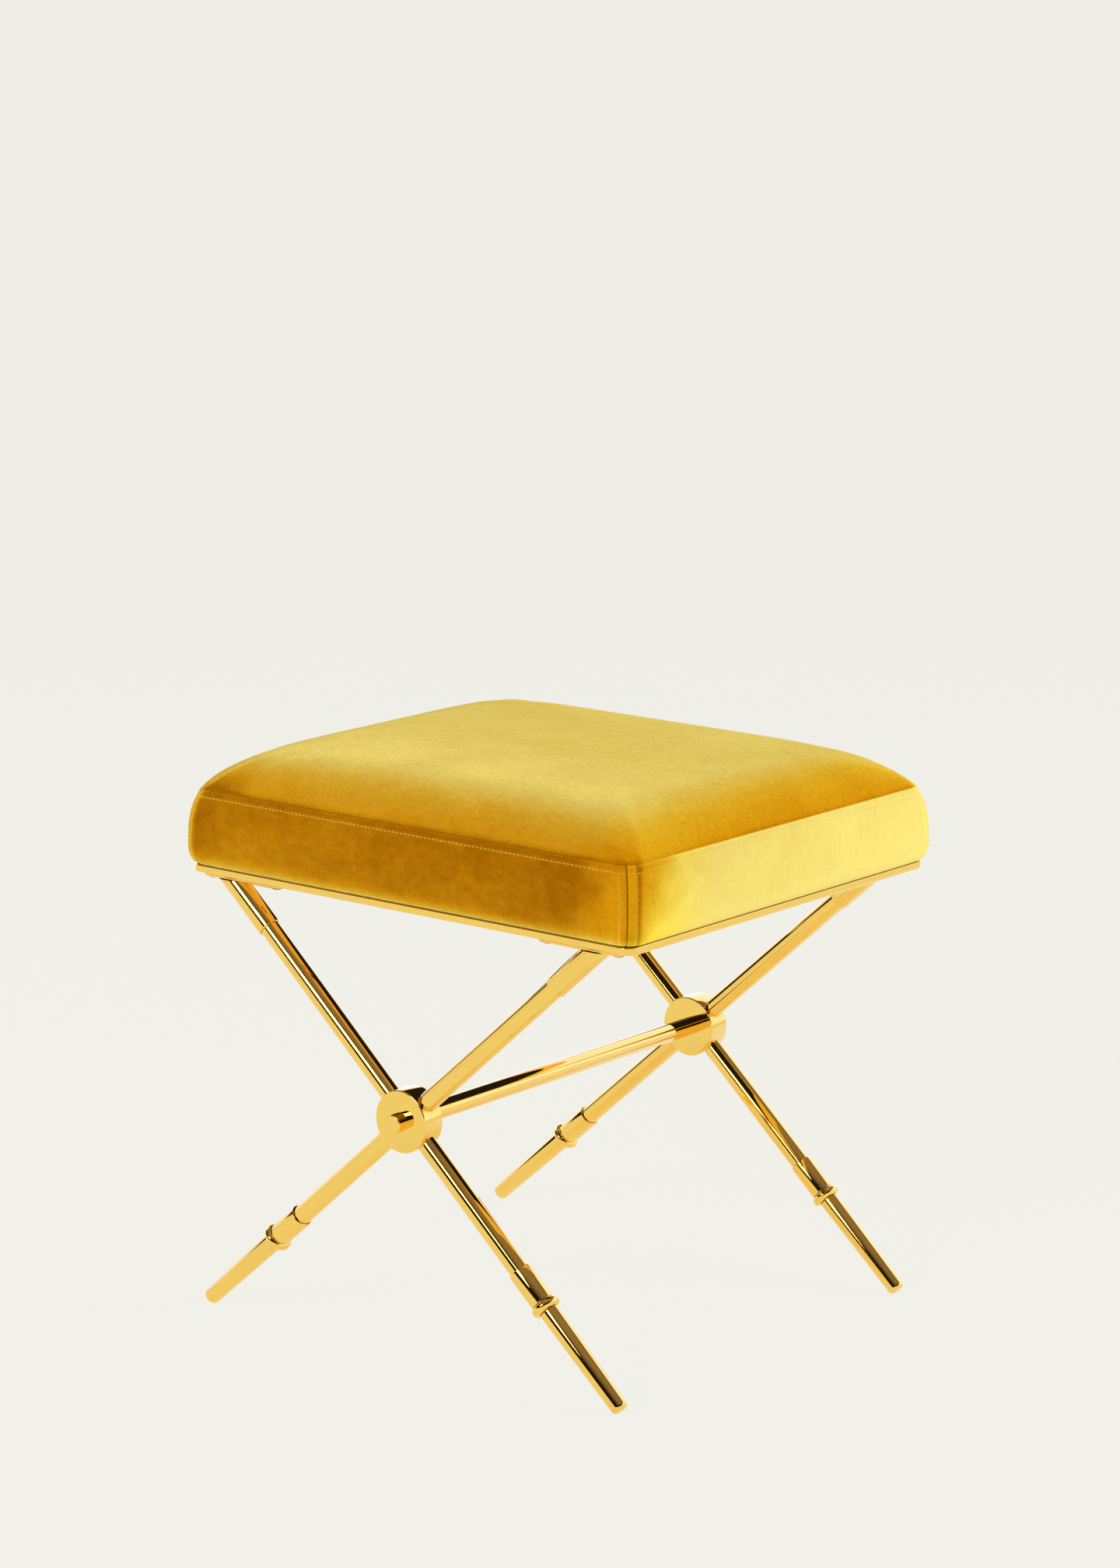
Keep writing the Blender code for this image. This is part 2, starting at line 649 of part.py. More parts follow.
def main():
    """Build the bench."""
    clear_scene()
    gold = make_material("polished_gold", (0.84, 0.60, 0.20), 0.08, 1.0)
    screw_metal = make_material("screw_metal", (0.55, 0.42, 0.18), 0.3, 1.0)
    velvet = make_material("mustard_velvet", (0.62, 0.36, 0.03), 0.85, 0.0)
    foam = make_material("foam", (0.85, 0.80, 0.62), 0.95, 0.0)
    plywood = make_material("plywood", (0.60, 0.44, 0.26), 0.7, 0.0)
    dust_cloth = make_material("dust_cloth", (0.02, 0.02, 0.02), 0.95, 0.0)
    screw_holes = as_cutter(place("screw_cutter", screw_cutter_mesh()))
    build_ends(gold)
    build_seat_frame(gold, screw_metal, screw_holes)
    build_seat(velvet, foam, plywood, dust_cloth, screw_holes)


main()
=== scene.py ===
# %% [markdown]
# # An upholstered bench
#
# A velvet box cushion sits on a thin gold frame, and two crossed pairs of gold tubes carry it.
# The solids of the bench come in first, already in place and in metres. Each one that shows is then
# dressed: the metal is turned again with finer curves, because a mirror finish shows every facet, and
# the cushion is sewn and stuffed as cloth.

# %% Load the bench
import math

import bmesh
import bpy
from mathutils import Matrix, Vector, kdtree, noise


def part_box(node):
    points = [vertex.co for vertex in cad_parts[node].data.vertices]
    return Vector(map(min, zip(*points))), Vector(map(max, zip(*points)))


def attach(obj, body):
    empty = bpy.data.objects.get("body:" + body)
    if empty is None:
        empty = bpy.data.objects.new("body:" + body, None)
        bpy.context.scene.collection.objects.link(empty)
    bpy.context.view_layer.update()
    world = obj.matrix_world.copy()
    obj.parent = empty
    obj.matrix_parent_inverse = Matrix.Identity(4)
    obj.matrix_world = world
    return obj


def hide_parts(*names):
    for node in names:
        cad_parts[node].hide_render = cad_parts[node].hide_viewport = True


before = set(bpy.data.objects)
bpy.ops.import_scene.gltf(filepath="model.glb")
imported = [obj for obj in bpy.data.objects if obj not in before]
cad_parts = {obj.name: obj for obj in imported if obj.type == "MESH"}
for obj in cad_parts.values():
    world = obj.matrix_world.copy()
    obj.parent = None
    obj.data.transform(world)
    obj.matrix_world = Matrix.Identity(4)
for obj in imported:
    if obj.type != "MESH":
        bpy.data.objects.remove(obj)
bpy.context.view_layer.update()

# %% [markdown]
# ## Camera
#
# The picture is 1440 wide and 2016 high, taken with a long lens from the right and a little above.
# The camera takes three turns, round the bench, down towards it, and a small tilt of the horizon, which
# a Track To would lose.

# %% Camera
scene = bpy.context.scene
CAMERA_PLACE = Vector((2.166, -2.760, 1.1704))
CAMERA_YAW = math.radians(38.1308)
CAMERA_PITCH = math.radians(11.8614)
CAMERA_ROLL = math.radians(0.5067)
LENS_MM = 102.09
SENSOR_MM = 36
FAR_CLIP = 200

camera_data = bpy.data.cameras.new("camera")
camera_data.lens = LENS_MM
camera_data.sensor_width = SENSOR_MM
camera_data.clip_end = FAR_CLIP
camera = bpy.data.objects.new("camera", camera_data)
camera.matrix_world = (Matrix.Translation(CAMERA_PLACE) @ Matrix.Rotation(CAMERA_YAW, 4, "Z")
                       @ Matrix.Rotation(math.pi / 2 - CAMERA_PITCH, 4, "X")
                       @ Matrix.Rotation(CAMERA_ROLL, 4, "Z"))
scene.collection.objects.link(camera)
scene.camera = camera
print(f"camera {CAMERA_PLACE.length:.2f} m from the origin, lens {LENS_MM} mm")

# %% [markdown]
# ## Node helpers
#
# Every finish here is made of shader nodes, so a few short helpers keep the materials readable.
# `feed` gives each input either a number or another node's output, as a person would in the editor.

# %% Node helpers
def feed(tree, node, sources):
    """Feed a node's inputs, each with another node's output or with a value."""
    for name, source in sources.items():
        if hasattr(source, "is_output"):
            tree.links.new(source, node.inputs[name])
        else:
            node.inputs[name].default_value = source


def add_node(tree, kind, sources=None, **settings):
    """Outputs of a new node with its settings and its inputs fed."""
    node = tree.nodes.new(kind)
    for name, value in settings.items():
        setattr(node, name, value)
    feed(tree, node, sources or {})
    return node.outputs


def noise_value(tree, vector, scale, detail=2.0, roughness=0.5, distortion=0.0):
    """Noise texture, from 0 to 1."""
    return add_node(tree, "ShaderNodeTexNoise", {"Vector": vector, "Scale": scale, "Detail": detail,
                                                 "Roughness": roughness, "Distortion": distortion})["Fac"]


def ramp(tree, value, low, high, to_low=0.0, to_high=1.0):
    """Value stretched from one range to another, and held at its ends."""
    return add_node(tree, "ShaderNodeMapRange", {"Value": value, "From Min": low, "From Max": high,
                                                 "To Min": to_low, "To Max": to_high}, clamp=True)["Result"]


def sums(tree, operation, first, second):
    """One sum of two values."""
    return add_node(tree, "ShaderNodeMath", {0: first, 1: second}, operation=operation)[0]


def weighed(tree, first, second, share):
    """Two values added, each by its share."""
    return sums(tree, "ADD", sums(tree, "MULTIPLY", first, share), sums(tree, "MULTIPLY", second, 1 - share))


def mix_colour(tree, share, first, second, blend="MIX"):
    """Two colours mixed by a share."""
    return add_node(tree, "ShaderNodeMix", {0: share, 6: first, 7: second}, data_type="RGBA",
                    blend_type=blend)[2]


def stretched(tree, vector, scale):
    """Places stretched unevenly, for marks that run one way."""
    return add_node(tree, "ShaderNodeMapping", {"Vector": vector, "Scale": scale})["Vector"]


def raised(tree, height, strength, distance):
    """Normal that a height bumps up."""
    return add_node(tree, "ShaderNodeBump", {"Height": height, "Strength": strength,
                                             "Distance": distance})["Normal"]


def painted(tree, name):
    """Value that the mesh carries at its points."""
    return add_node(tree, "ShaderNodeAttribute", attribute_name=name)["Fac"]


def on_piece(tree):
    """Places on the piece itself."""
    return add_node(tree, "ShaderNodeTexCoord")["Object"]


def axes(tree, vector):
    """X, Y and Z of a place or direction."""
    return add_node(tree, "ShaderNodeSeparateXYZ", {0: vector})


def new_finish(name):
    """Material with its tree and its Principled shader."""
    material = bpy.data.materials.new(name)
    material.use_nodes = True
    return material, material.node_tree, material.node_tree.nodes["Principled BSDF"]


def new_group(name, inputs, outputs):
    """Shader node group that takes a place and named numbers, and puts out numbers."""
    tree = bpy.data.node_groups.new(name, "ShaderNodeTree")
    tree.interface.new_socket("Vector", in_out="INPUT", socket_type="NodeSocketVector")
    for socket, value in inputs.items():
        made = tree.interface.new_socket(socket, in_out="INPUT", socket_type="NodeSocketFloat")
        made.default_value = value
    for socket in outputs:
        tree.interface.new_socket(socket, in_out="OUTPUT", socket_type="NodeSocketFloat")
    return tree, add_node(tree, "NodeGroupInput"), tree.nodes.new("NodeGroupOutput")


def use_group(tree, group, **values):
    """Outputs of a group placed in a material with its own values."""
    sources = {name.replace("_", " "): value for name, value in values.items()}
    return add_node(tree, "ShaderNodeGroup", sources, node_tree=group)


print("node helpers ready")

# %% [markdown]
# ## Shared effects
#
# Two effects turn up in more than one finish. *Handling* is what touch leaves on polished metal: a
# faint haze that lifts the roughness in patches, and hairlines from wiping. *Cloth* is what every
# woven thing here shares: patches where it was brushed one way or the other, and a fine grain.
# Each is a node group, so one change reaches every material.

# %% Shared effects
PATCH_RANGE = (0.5, 0.75)
WIPE_STRETCH = (1400, 1400, 60)
WIPE_RANGE = (0.62, 0.8)
WIPE_STRENGTH = 0.6
STROKE_STRETCH = (0.7, 1.2, 1.0)
STROKE_FINENESS = 10.0
CLUMP_FINENESS = 0.35
BROAD_SHARE = 0.6
FINE_SHARE = 0.75
BRUSHED_RANGE = (0.3, 0.7)
GRAIN_RANGE = (0.32, 0.68)

handling, given, result = new_group(
    "handling", {"Patch Scale": 30.0, "Clean Roughness": 0.05, "Touched Roughness": 0.12},
    ("Roughness", "Haze"))
spots = noise_value(handling, given["Vector"], given["Patch Scale"], detail=3.0, roughness=0.6)
lines = noise_value(handling, stretched(handling, given["Vector"], WIPE_STRETCH), scale=1.0, detail=1.0)
wipes = sums(handling, "MULTIPLY", ramp(handling, lines, *WIPE_RANGE), WIPE_STRENGTH)
haze = sums(handling, "MAXIMUM", ramp(handling, spots, *PATCH_RANGE), wipes)
touched = ramp(handling, haze, 0.0, 1.0, given["Clean Roughness"], given["Touched Roughness"])
feed(handling, result, {"Haze": haze, "Roughness": touched})

cloth, given, result = new_group("cloth", {"Brush Scale": 14.0, "Grain Scale": 900.0}, ("Brushed", "Grain"))
broad = noise_value(cloth, given["Vector"], given["Brush Scale"], detail=4.0, roughness=0.55, distortion=0.6)
stroke_scale = sums(cloth, "MULTIPLY", given["Brush Scale"], STROKE_FINENESS)
strokes = noise_value(cloth, stretched(cloth, given["Vector"], STROKE_STRETCH), stroke_scale, detail=3.0,
                      roughness=0.6)
fine = noise_value(cloth, given["Vector"], given["Grain Scale"], detail=2.0, roughness=0.7)
clump_scale = sums(cloth, "MULTIPLY", given["Grain Scale"], CLUMP_FINENESS)
clumps = noise_value(cloth, given["Vector"], clump_scale, detail=1.0)
feed(cloth, result, {"Brushed": ramp(cloth, weighed(cloth, broad, strokes, BROAD_SHARE), *BRUSHED_RANGE),
                     "Grain": ramp(cloth, weighed(cloth, fine, clumps, FINE_SHARE), *GRAIN_RANGE)})
print("groups:", [group.name for group in bpy.data.node_groups])

# %% [markdown]
# ## Gold
#
# The metal is gold-plated tube, polished to a mirror under a thin clear lacquer. A metal gets its
# colour from its reflections, so Metallic is 1 and Base Color is the tint; the lacquer is a Coat, which
# whitens the brightest streaks. The handling group keeps the mirror from looking like plastic. The
# screws are bare metal, duller and a little darker.

# %% Gold
def metal_finish(name, tint, worn_tint, clean, touched, patch_scale, lacquer):
    """Metal with handling marks, under lacquer."""
    material, tree, shader = new_finish(name)
    marks = use_group(tree, handling, Vector=on_piece(tree), Patch_Scale=patch_scale, Clean_Roughness=clean,
                      Touched_Roughness=touched)
    feed(tree, shader, {"Base Color": mix_colour(tree, marks["Haze"], (*tint, 1), (*worn_tint, 1)),
                        "Roughness": marks["Roughness"], "Metallic": 1.0, "Coat Weight": lacquer})
    return material


gold = metal_finish("polished gold", tint=(0.97, 0.625, 0.13), worn_tint=(0.93, 0.58, 0.13),
                    clean=0.035, touched=0.09, patch_scale=18.0, lacquer=0.4)
screw_metal = metal_finish("dull gold screw", tint=(0.62, 0.40, 0.11), worn_tint=(0.42, 0.27, 0.09),
                           clean=0.22, touched=0.4, patch_scale=160.0, lacquer=0.0)
print("metals:", gold.name, "and", screw_metal.name)

# %% [markdown]
# ## Turning the metal
#
# Tubes, sleeves, rings, feet, hubs and the stretcher are all round, so one lathe makes them: it spins a
# list of radius and station pairs about the piece's own Z axis. Every curve in such a list is an `arc`,
# and `rounded_edge` gives the little one that a real edge has, and that catches the light.

# %% Lathe
ROUND_STEPS = 96
EDGE_STEPS = 5
SHARP_ANGLE = math.radians(40)


def arc(centre, size, first, last, steps):
    """Points along part of an ellipse, from a first angle to a last one, in degrees."""
    angles = [math.radians(first + (last - first) * step / steps) for step in range(steps + 1)]
    return [(centre[0] + size[0] * math.cos(angle), centre[1] + size[1] * math.sin(angle))
            for angle in angles]


def rounded_edge(radius, station, along, size):
    """Arc that rounds an outer edge. along is -1 at a piece's start and 1 at its end."""
    turns = (90, 0) if along < 0 else (0, 90)
    return arc((radius - size, station - along * size), (size, along * size), *turns, EDGE_STEPS)


def finished_mesh(bm, name, sharp=SHARP_ANGLE):
    """Mesh with its faces out and its curves smooth."""
    bmesh.ops.recalc_face_normals(bm, faces=bm.faces)
    mesh = bpy.data.meshes.new(name)
    bm.to_mesh(mesh)
    bm.free()
    mesh.shade_smooth()
    mesh.set_sharp_from_angle(angle=sharp)
    return mesh


def join_loops(bm, first, second):
    """Faces between two closed loops of equal length."""
    for index in range(len(first)):
        after = (index + 1) % len(first)
        bm.faces.new((first[index], first[after], second[after], second[index]))


def skin(bm, loops, ring=False):
    """Skin over closed loops. A ring joins its last loop to its first, and the rest get flat ends."""
    for first, second in zip(loops, loops[1:]):
        join_loops(bm, first, second)
    if ring:
        join_loops(bm, loops[-1], loops[0])
    else:
        bm.faces.new(loops[0])
        bm.faces.new(loops[-1])


def loft_mesh(name, loops, ring=False):
    """Mesh with a skin over loops of points."""
    bm = bmesh.new()
    skin(bm, [[bm.verts.new(point) for point in loop] for loop in loops], ring)
    return finished_mesh(bm, name)


def lathe_mesh(name, profile, ring=False, end_slope=0.0, sloped=()):
    """Solid of revolution. The rows numbered in sloped are cut on a slant."""
    loops = []
    for number, (radius, station) in enumerate(profile):
        slope = end_slope if number in sloped else 0.0
        circle = arc((0, 0), (radius, radius), 0, 360, ROUND_STEPS)[:-1]
        loops.append([(x, y, station + slope * x) for x, y in circle])
    return loft_mesh(name, loops, ring)


def add_piece(name, mesh, material, nodes=(), matrix=None):
    """Piece of the bench, riding on it and standing for its solids."""
    piece = bpy.data.objects.new(name, mesh)
    if matrix:
        piece.matrix_world = matrix
    if not mesh.materials:
        mesh.materials.append(material)
    scene.collection.objects.link(piece)
    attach(piece, "root")
    if nodes:
        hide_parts(*nodes)
    return piece


def gold_piece(node, mesh, matrix=None, material=gold):
    """Piece of metal that stands for one solid."""
    add_piece(f"gold_{node}", mesh, material, [node], matrix)


print("lathe ready,", ROUND_STEPS, "steps round")

# %% [markdown]
# ## Crossed ends
#
# Each end of the bench is a cross: four arms meet in a round hub. An upper arm is a tube with a sleeve
# under the seat, cut level where it meets its flange. A lower arm is a tube, a short sleeve, a
# half-round bead and a slightly tapered foot. All arms lean alike, so each piece is turned once and
# placed four times.

# %% Arm sizes
CORNERS = {"front_left": (-1, -1), "front_right": (1, -1), "back_left": (-1, 1), "back_right": (1, 1)}
FIT_GAP = 0.0003
HUB_HEIGHT = 0.195
LEG_PLANE = 0.1885
LEG_TOP = (0.184, 0.3610)
TUBE_RADIUS = 0.008
TUBE_WALL = 0.0015
COLLAR_BORE = TUBE_RADIUS + FIT_GAP
SLEEVE_RADIUS = 0.0095
SLEEVE_EDGE = 0.0006
HUB_RADIUS = 0.0253
HUB_WIDTH = 0.0216
HUB_EDGE = 0.0009
ARM_START = 0.0155
UPPER_SLEEVE = 0.0515
LOWER_SLEEVE = 0.031
BEAD_BORE = COLLAR_BORE - 0.0002
BEAD_WIDTH = 0.0075
BEAD_HEIGHT = 0.0038
BEAD_STEPS = 16
FOOT_LENGTH = 0.0965
FOOT_EDGE = 0.0003
FOOT_TIP_RADIUS = 0.0069
FOOT_TIP_ROUND = 0.004
FOOT_TIP_STEPS = 10
FOOT_FLAT = 0.0005
STRETCHER_RADIUS = 0.0077
STRETCHER_HALF = 0.2093
STRETCHER_EDGE = 0.0008

LEAN = math.atan2(LEG_TOP[0], LEG_TOP[1] - HUB_HEIGHT)
UPPER_END = (LEG_TOP[1] - HUB_HEIGHT) / math.cos(LEAN)
TIP_DROP = FOOT_TIP_ROUND + (FOOT_TIP_RADIUS - FOOT_TIP_ROUND) * math.sin(LEAN)
TIP_CENTRE = (HUB_HEIGHT + FOOT_FLAT - TIP_DROP) / math.cos(LEAN)
FOOT_START = TIP_CENTRE + FOOT_TIP_ROUND - FOOT_LENGTH
BEAD_START = FOOT_START - FIT_GAP - BEAD_WIDTH
LOWER_SLEEVE_END = BEAD_START - FIT_GAP
print(f"arms lean {math.degrees(LEAN):.2f} degrees, feet start {FOOT_START:.4f} m from the hub")

# %% Arm pieces
def plain_tube(start, end, slope=0.0):
    """Tube with its end cut on a slope."""
    bore = TUBE_RADIUS - TUBE_WALL
    profile = [(TUBE_RADIUS, start), (TUBE_RADIUS, end), (bore, end), (bore, start)]
    return lathe_mesh("tube", profile, ring=True, end_slope=slope, sloped=(1, 2))


def sleeve(start, end, slope=0.0):
    """Sleeve with rounded edges, or one whose end is cut on a slope."""
    profile = [(COLLAR_BORE, start)] + rounded_edge(SLEEVE_RADIUS, start, -1, SLEEVE_EDGE)
    profile += [(SLEEVE_RADIUS, end)] if slope else rounded_edge(SLEEVE_RADIUS, end, 1, SLEEVE_EDGE)
    profile.append((COLLAR_BORE, end))
    last = len(profile) - 1
    return lathe_mesh("sleeve", profile, ring=True, end_slope=slope, sloped=(last - 1, last))


def bead():
    """Half-round bead."""
    half = BEAD_WIDTH / 2
    swell = arc((COLLAR_BORE, BEAD_START + half), (BEAD_HEIGHT, half), 90, -90, BEAD_STEPS)
    profile = [(BEAD_BORE, BEAD_START), (BEAD_BORE, BEAD_START + BEAD_WIDTH)] + swell
    return lathe_mesh("bead", profile, ring=True)


def foot():
    """Tapered foot with a rounded tip, flat where it meets the floor."""
    profile = rounded_edge(TUBE_RADIUS, FOOT_START, -1, FOOT_EDGE)
    profile += arc((FOOT_TIP_RADIUS - FOOT_TIP_ROUND, TIP_CENTRE), (FOOT_TIP_ROUND, FOOT_TIP_ROUND), 0, 90,
                   FOOT_TIP_STEPS)
    bm = bmesh.new()
    bm.from_mesh(lathe_mesh("foot", profile))
    down = Vector((math.sin(LEAN), 0, math.cos(LEAN)))
    bmesh.ops.bisect_plane(bm, geom=bm.verts[:] + bm.edges[:] + bm.faces[:], plane_co=down * HUB_HEIGHT,
                           plane_no=down, clear_outer=True)
    bmesh.ops.edgeloop_fill(bm, edges=[edge for edge in bm.edges if edge.is_boundary])
    return finished_mesh(bm, "foot")


level_cut = math.tan(LEAN)
upper_pieces = {"upper_tube": plain_tube(ARM_START, UPPER_END, level_cut),
                "upper_sleeve": sleeve(UPPER_END - UPPER_SLEEVE, UPPER_END, level_cut)}
lower_pieces = {"lower_tube": plain_tube(ARM_START, FOOT_START - FIT_GAP),
                "lower_sleeve": sleeve(LOWER_SLEEVE_END - LOWER_SLEEVE, LOWER_SLEEVE_END),
                "ring_bead": bead(), "foot": foot()}
for corner, (side_x, side_y) in CORNERS.items():
    hub_centre = Matrix.Translation((0, side_y * LEG_PLANE, HUB_HEIGHT))
    half_turn = Matrix.Rotation(0 if side_x > 0 else math.pi, 4, "Z")
    for pieces, tilt in ((upper_pieces, LEAN), (lower_pieces, math.pi - LEAN)):
        for kind, mesh in pieces.items():
            placed = mesh.copy()
            placed.transform(hub_centre @ half_turn @ Matrix.Rotation(tilt, 4, "Y"))
            gold_piece(f"{kind}_{corner}", placed)
print("placed", len(CORNERS) * (len(upper_pieces) + len(lower_pieces)), "arm pieces")

# %% Hubs and stretcher
def drum(name, radius, half, edge):
    """Short or long round bar with rounded edges."""
    return lathe_mesh(name, rounded_edge(radius, -half, -1, edge) + rounded_edge(radius, half, 1, edge))


along_y = Matrix.Rotation(math.pi / 2, 4, "X")
hub = drum("hub", HUB_RADIUS, HUB_WIDTH / 2, HUB_EDGE)
for end, side_y in (("front", -1), ("back", 1)):
    gold_piece(f"hub_{end}", hub, Matrix.Translation((0, side_y * LEG_PLANE, HUB_HEIGHT)) @ along_y)
gold_piece("stretcher", drum("stretcher", STRETCHER_RADIUS, STRETCHER_HALF, STRETCHER_EDGE),
           Matrix.Translation((0, 0, HUB_HEIGHT)) @ along_y)
print("hubs and stretcher placed")

# %% [markdown]
# ## Seat frame, flanges and screws
#
# The frame is one ring of flat bar with soft edges. It is swept: the bar's section, with its two
# rounded outer edges, runs round a rectangle with rounded corners. The flanges are thin plates under
# its corners, and two pan-head screws hold each one.

# %% Rounded rectangles
SIDE_NAMES = ("front", "right", "back", "left")


def on_edge(half, radius, side, distance):
    """Point on a rounded rectangle, at a distance along one of its sides.

    Sides run front, right, back, left, and each starts and ends in the middle of a rounded corner.
    """
    along = half[side % 2]
    out = half[(side + 1) % 2]
    bend = math.pi / 4 * radius
    straight = min(max(distance - bend, 0.0), 2 * (along - radius))
    angle = (distance - bend - straight) / radius
    turn = Matrix.Rotation(side * math.pi / 2, 2)
    return turn @ Vector((radius - along + straight + radius * math.sin(angle),
                          radius - out - radius * math.cos(angle)))


def side_length(half, radius, side):
    """Length of one side, from corner middle to corner middle."""
    return 2 * (half[side % 2] - radius) + math.pi / 2 * radius


def even_loop(half, radius, height, per_corner, per_run):
    """Loop of points round a rounded rectangle, close together at its corners."""
    loop = []
    for side in range(len(SIDE_NAMES)):
        bend = math.pi / 4 * radius
        run = 2 * (half[side % 2] - radius)
        stations = [bend * step / per_corner for step in range(per_corner)]
        stations += [bend + run * step / per_run for step in range(per_run)]
        stations += [bend + run + bend * step / per_corner for step in range(per_corner)]
        loop += [(*on_edge(half, radius, side, station), height) for station in stations]
    return loop


print("rounded rectangles ready")

# %% Frame and flanges
FRAME_HALF = (0.223, 0.198)
FRAME_CORNER = 0.010
FRAME_BOTTOM = 0.3636
FRAME_TOP = 0.3696
FRAME_BAR = 0.040
FRAME_ROUND = 0.0008
FRAME_ROUND_STEPS = 7
WINDOW_EDGE = 0.0005
FLANGE_CORNER = 0.004
FLANGE_EDGE = 0.0005
LEAST_CORNER = 0.001


def inset_loop(half, radius, inset, height):
    """Loop drawn in by an inset."""
    return even_loop((half[0] - inset, half[1] - inset), max(radius - inset, LEAST_CORNER), height,
                     per_corner=8, per_run=2)


bar = []
for centre, first in ((FRAME_BOTTOM + FRAME_ROUND, -90), (FRAME_TOP - FRAME_ROUND, 0)):
    bar += arc((FRAME_ROUND, centre), (-FRAME_ROUND, FRAME_ROUND), first, first + 90, FRAME_ROUND_STEPS)
bar += [(FRAME_BAR - WINDOW_EDGE, FRAME_TOP), (FRAME_BAR, FRAME_TOP - WINDOW_EDGE),
        (FRAME_BAR, FRAME_BOTTOM + WINDOW_EDGE), (FRAME_BAR - WINDOW_EDGE, FRAME_BOTTOM)]
bar_loops = [inset_loop(FRAME_HALF, FRAME_CORNER, inset, height) for inset, height in bar]
gold_piece("seat_frame", loft_mesh("seat_frame", bar_loops, ring=True))

for corner in CORNERS:
    low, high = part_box(f"flange_{corner}")
    middle = (low + high) / 2
    half = ((high.x - low.x) / 2, (high.y - low.y) / 2)
    plate = [inset_loop(half, FLANGE_CORNER, inset, height - middle.z)
             for inset, height in ((FLANGE_EDGE, low.z), (0, low.z + FLANGE_EDGE),
                                   (0, high.z - FLANGE_EDGE), (FLANGE_EDGE, high.z))]
    gold_piece(f"flange_{corner}", loft_mesh("flange", plate), Matrix.Translation(middle))
print("frame and flanges placed")

# %% Screws
HEAD_RADIUS = 0.00425
HEAD_HEIGHT = 0.002
HEAD_RIM = 0.0006
HEAD_FLAT = 0.0008
HEAD_STEPS = 8
SHANK_RADIUS = 0.002
POINT_RADIUS = 0.0007
POINT_LENGTH = 0.002
RECESS = (0.0042, 0.0011, 0.0012)
TURN_BETWEEN = 0.7


def cross_recess():
    """Cutter for a cross recess, standing on the head's face."""
    bm = bmesh.new()
    size = Matrix.Diagonal((RECESS[0], RECESS[1], 2 * RECESS[2], 1))
    for turn in (0, math.pi / 2):
        placed = Matrix.Translation((0, 0, -HEAD_HEIGHT)) @ (Matrix.Rotation(turn, 4, "Z") @ size)
        bmesh.ops.create_cube(bm, size=1, matrix=placed)
    return finished_mesh(bm, "recess")


def screw_mesh(length):
    """Pan-head screw pointing up, with its head's seat at zero."""
    dome = (HEAD_RADIUS - HEAD_FLAT, HEAD_RIM - HEAD_HEIGHT)
    profile = arc((HEAD_FLAT, -HEAD_RIM), dome, 90, 0, HEAD_STEPS)
    profile += [(HEAD_RADIUS, 0), (SHANK_RADIUS, 0), (SHANK_RADIUS, length - POINT_LENGTH),
                (POINT_RADIUS, length)]
    blank = bpy.data.objects.new("screw blank", lathe_mesh("screw", profile))
    cutter = bpy.data.objects.new("recess", cross_recess())
    for part in (blank, cutter):
        scene.collection.objects.link(part)
    recess = blank.modifiers.new("recess", "BOOLEAN")
    recess.object = cutter
    recess.solver = "EXACT"
    recess.use_self = True
    mesh = bpy.data.meshes.new_from_object(blank.evaluated_get(bpy.context.evaluated_depsgraph_get()))
    for part in (blank, cutter):
        bpy.data.objects.remove(part)
    mesh.shade_smooth()
    mesh.set_sharp_from_angle(angle=SHARP_ANGLE)
    return mesh


screw_nodes = sorted(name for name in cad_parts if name.startswith("screw_"))
screw_low, screw_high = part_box("screw_front_left_inner")
screw = screw_mesh(screw_high.z - screw_low.z - HEAD_HEIGHT)
for number, node in enumerate(screw_nodes):
    low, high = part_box(node)
    place = Matrix.Translation(((low.x + high.x) / 2, (low.y + high.y) / 2, low.z + HEAD_HEIGHT))
    turned = place @ Matrix.Rotation(TURN_BETWEEN * number, 4, "Z")
    gold_piece(node, screw, turned, screw_metal)
print("screws placed:", len(screw_nodes))

# %% [markdown]
# ## Velvet
#
# Velvet is a pile of short threads. Seen from along the threads it is deep and saturated, and seen
# across them it is pale, so its base colour is painted paler at glancing angles, a painted sheen. Two
# values that the mesh carries paint light and shade into the colour: the first turns it from deep to pale
# where the light falls, and the second deepens it by the near edge, as painted shade. Sheen adds a little
# glow at glancing angles, and the cloth group gives brushed patches and grain.

# %% Velvet finish
# Colours from deep to pale, along which the painted light and shade, the painted sheen and the brushed
# patches move.
PILE_AND_LIGHT_COLOURS = {0.0: (0.28, 0.094, 0.0004, 1), 0.25: (0.49, 0.218, 0.004, 1),
               0.48: (0.58, 0.332, 0.024, 1), 0.7: (0.65, 0.455, 0.080, 1), 1.0: (0.82, 0.650, 0.160, 1)}
# Painted shade: a tint that deepens the colour by the near edge.
PAINTED_SHADE_TINT = (1.14, 1.03, 0.25, 1)
GLANCE_RANGE = (0.2, 0.7)
GLANCE_PAINTED_SHEEN = (0.0, 0.72)
BRUSH_LAY = (-0.08, 0.09)
BRUSH_ROUGHNESS = (0.82, 0.95)
GRAIN_SHADE = (0.84, 1.15)
FLAT_GRAIN_LIGHTING = (0.1, 0.5)
FLAT_GRAIN = (0.0, 0.12)


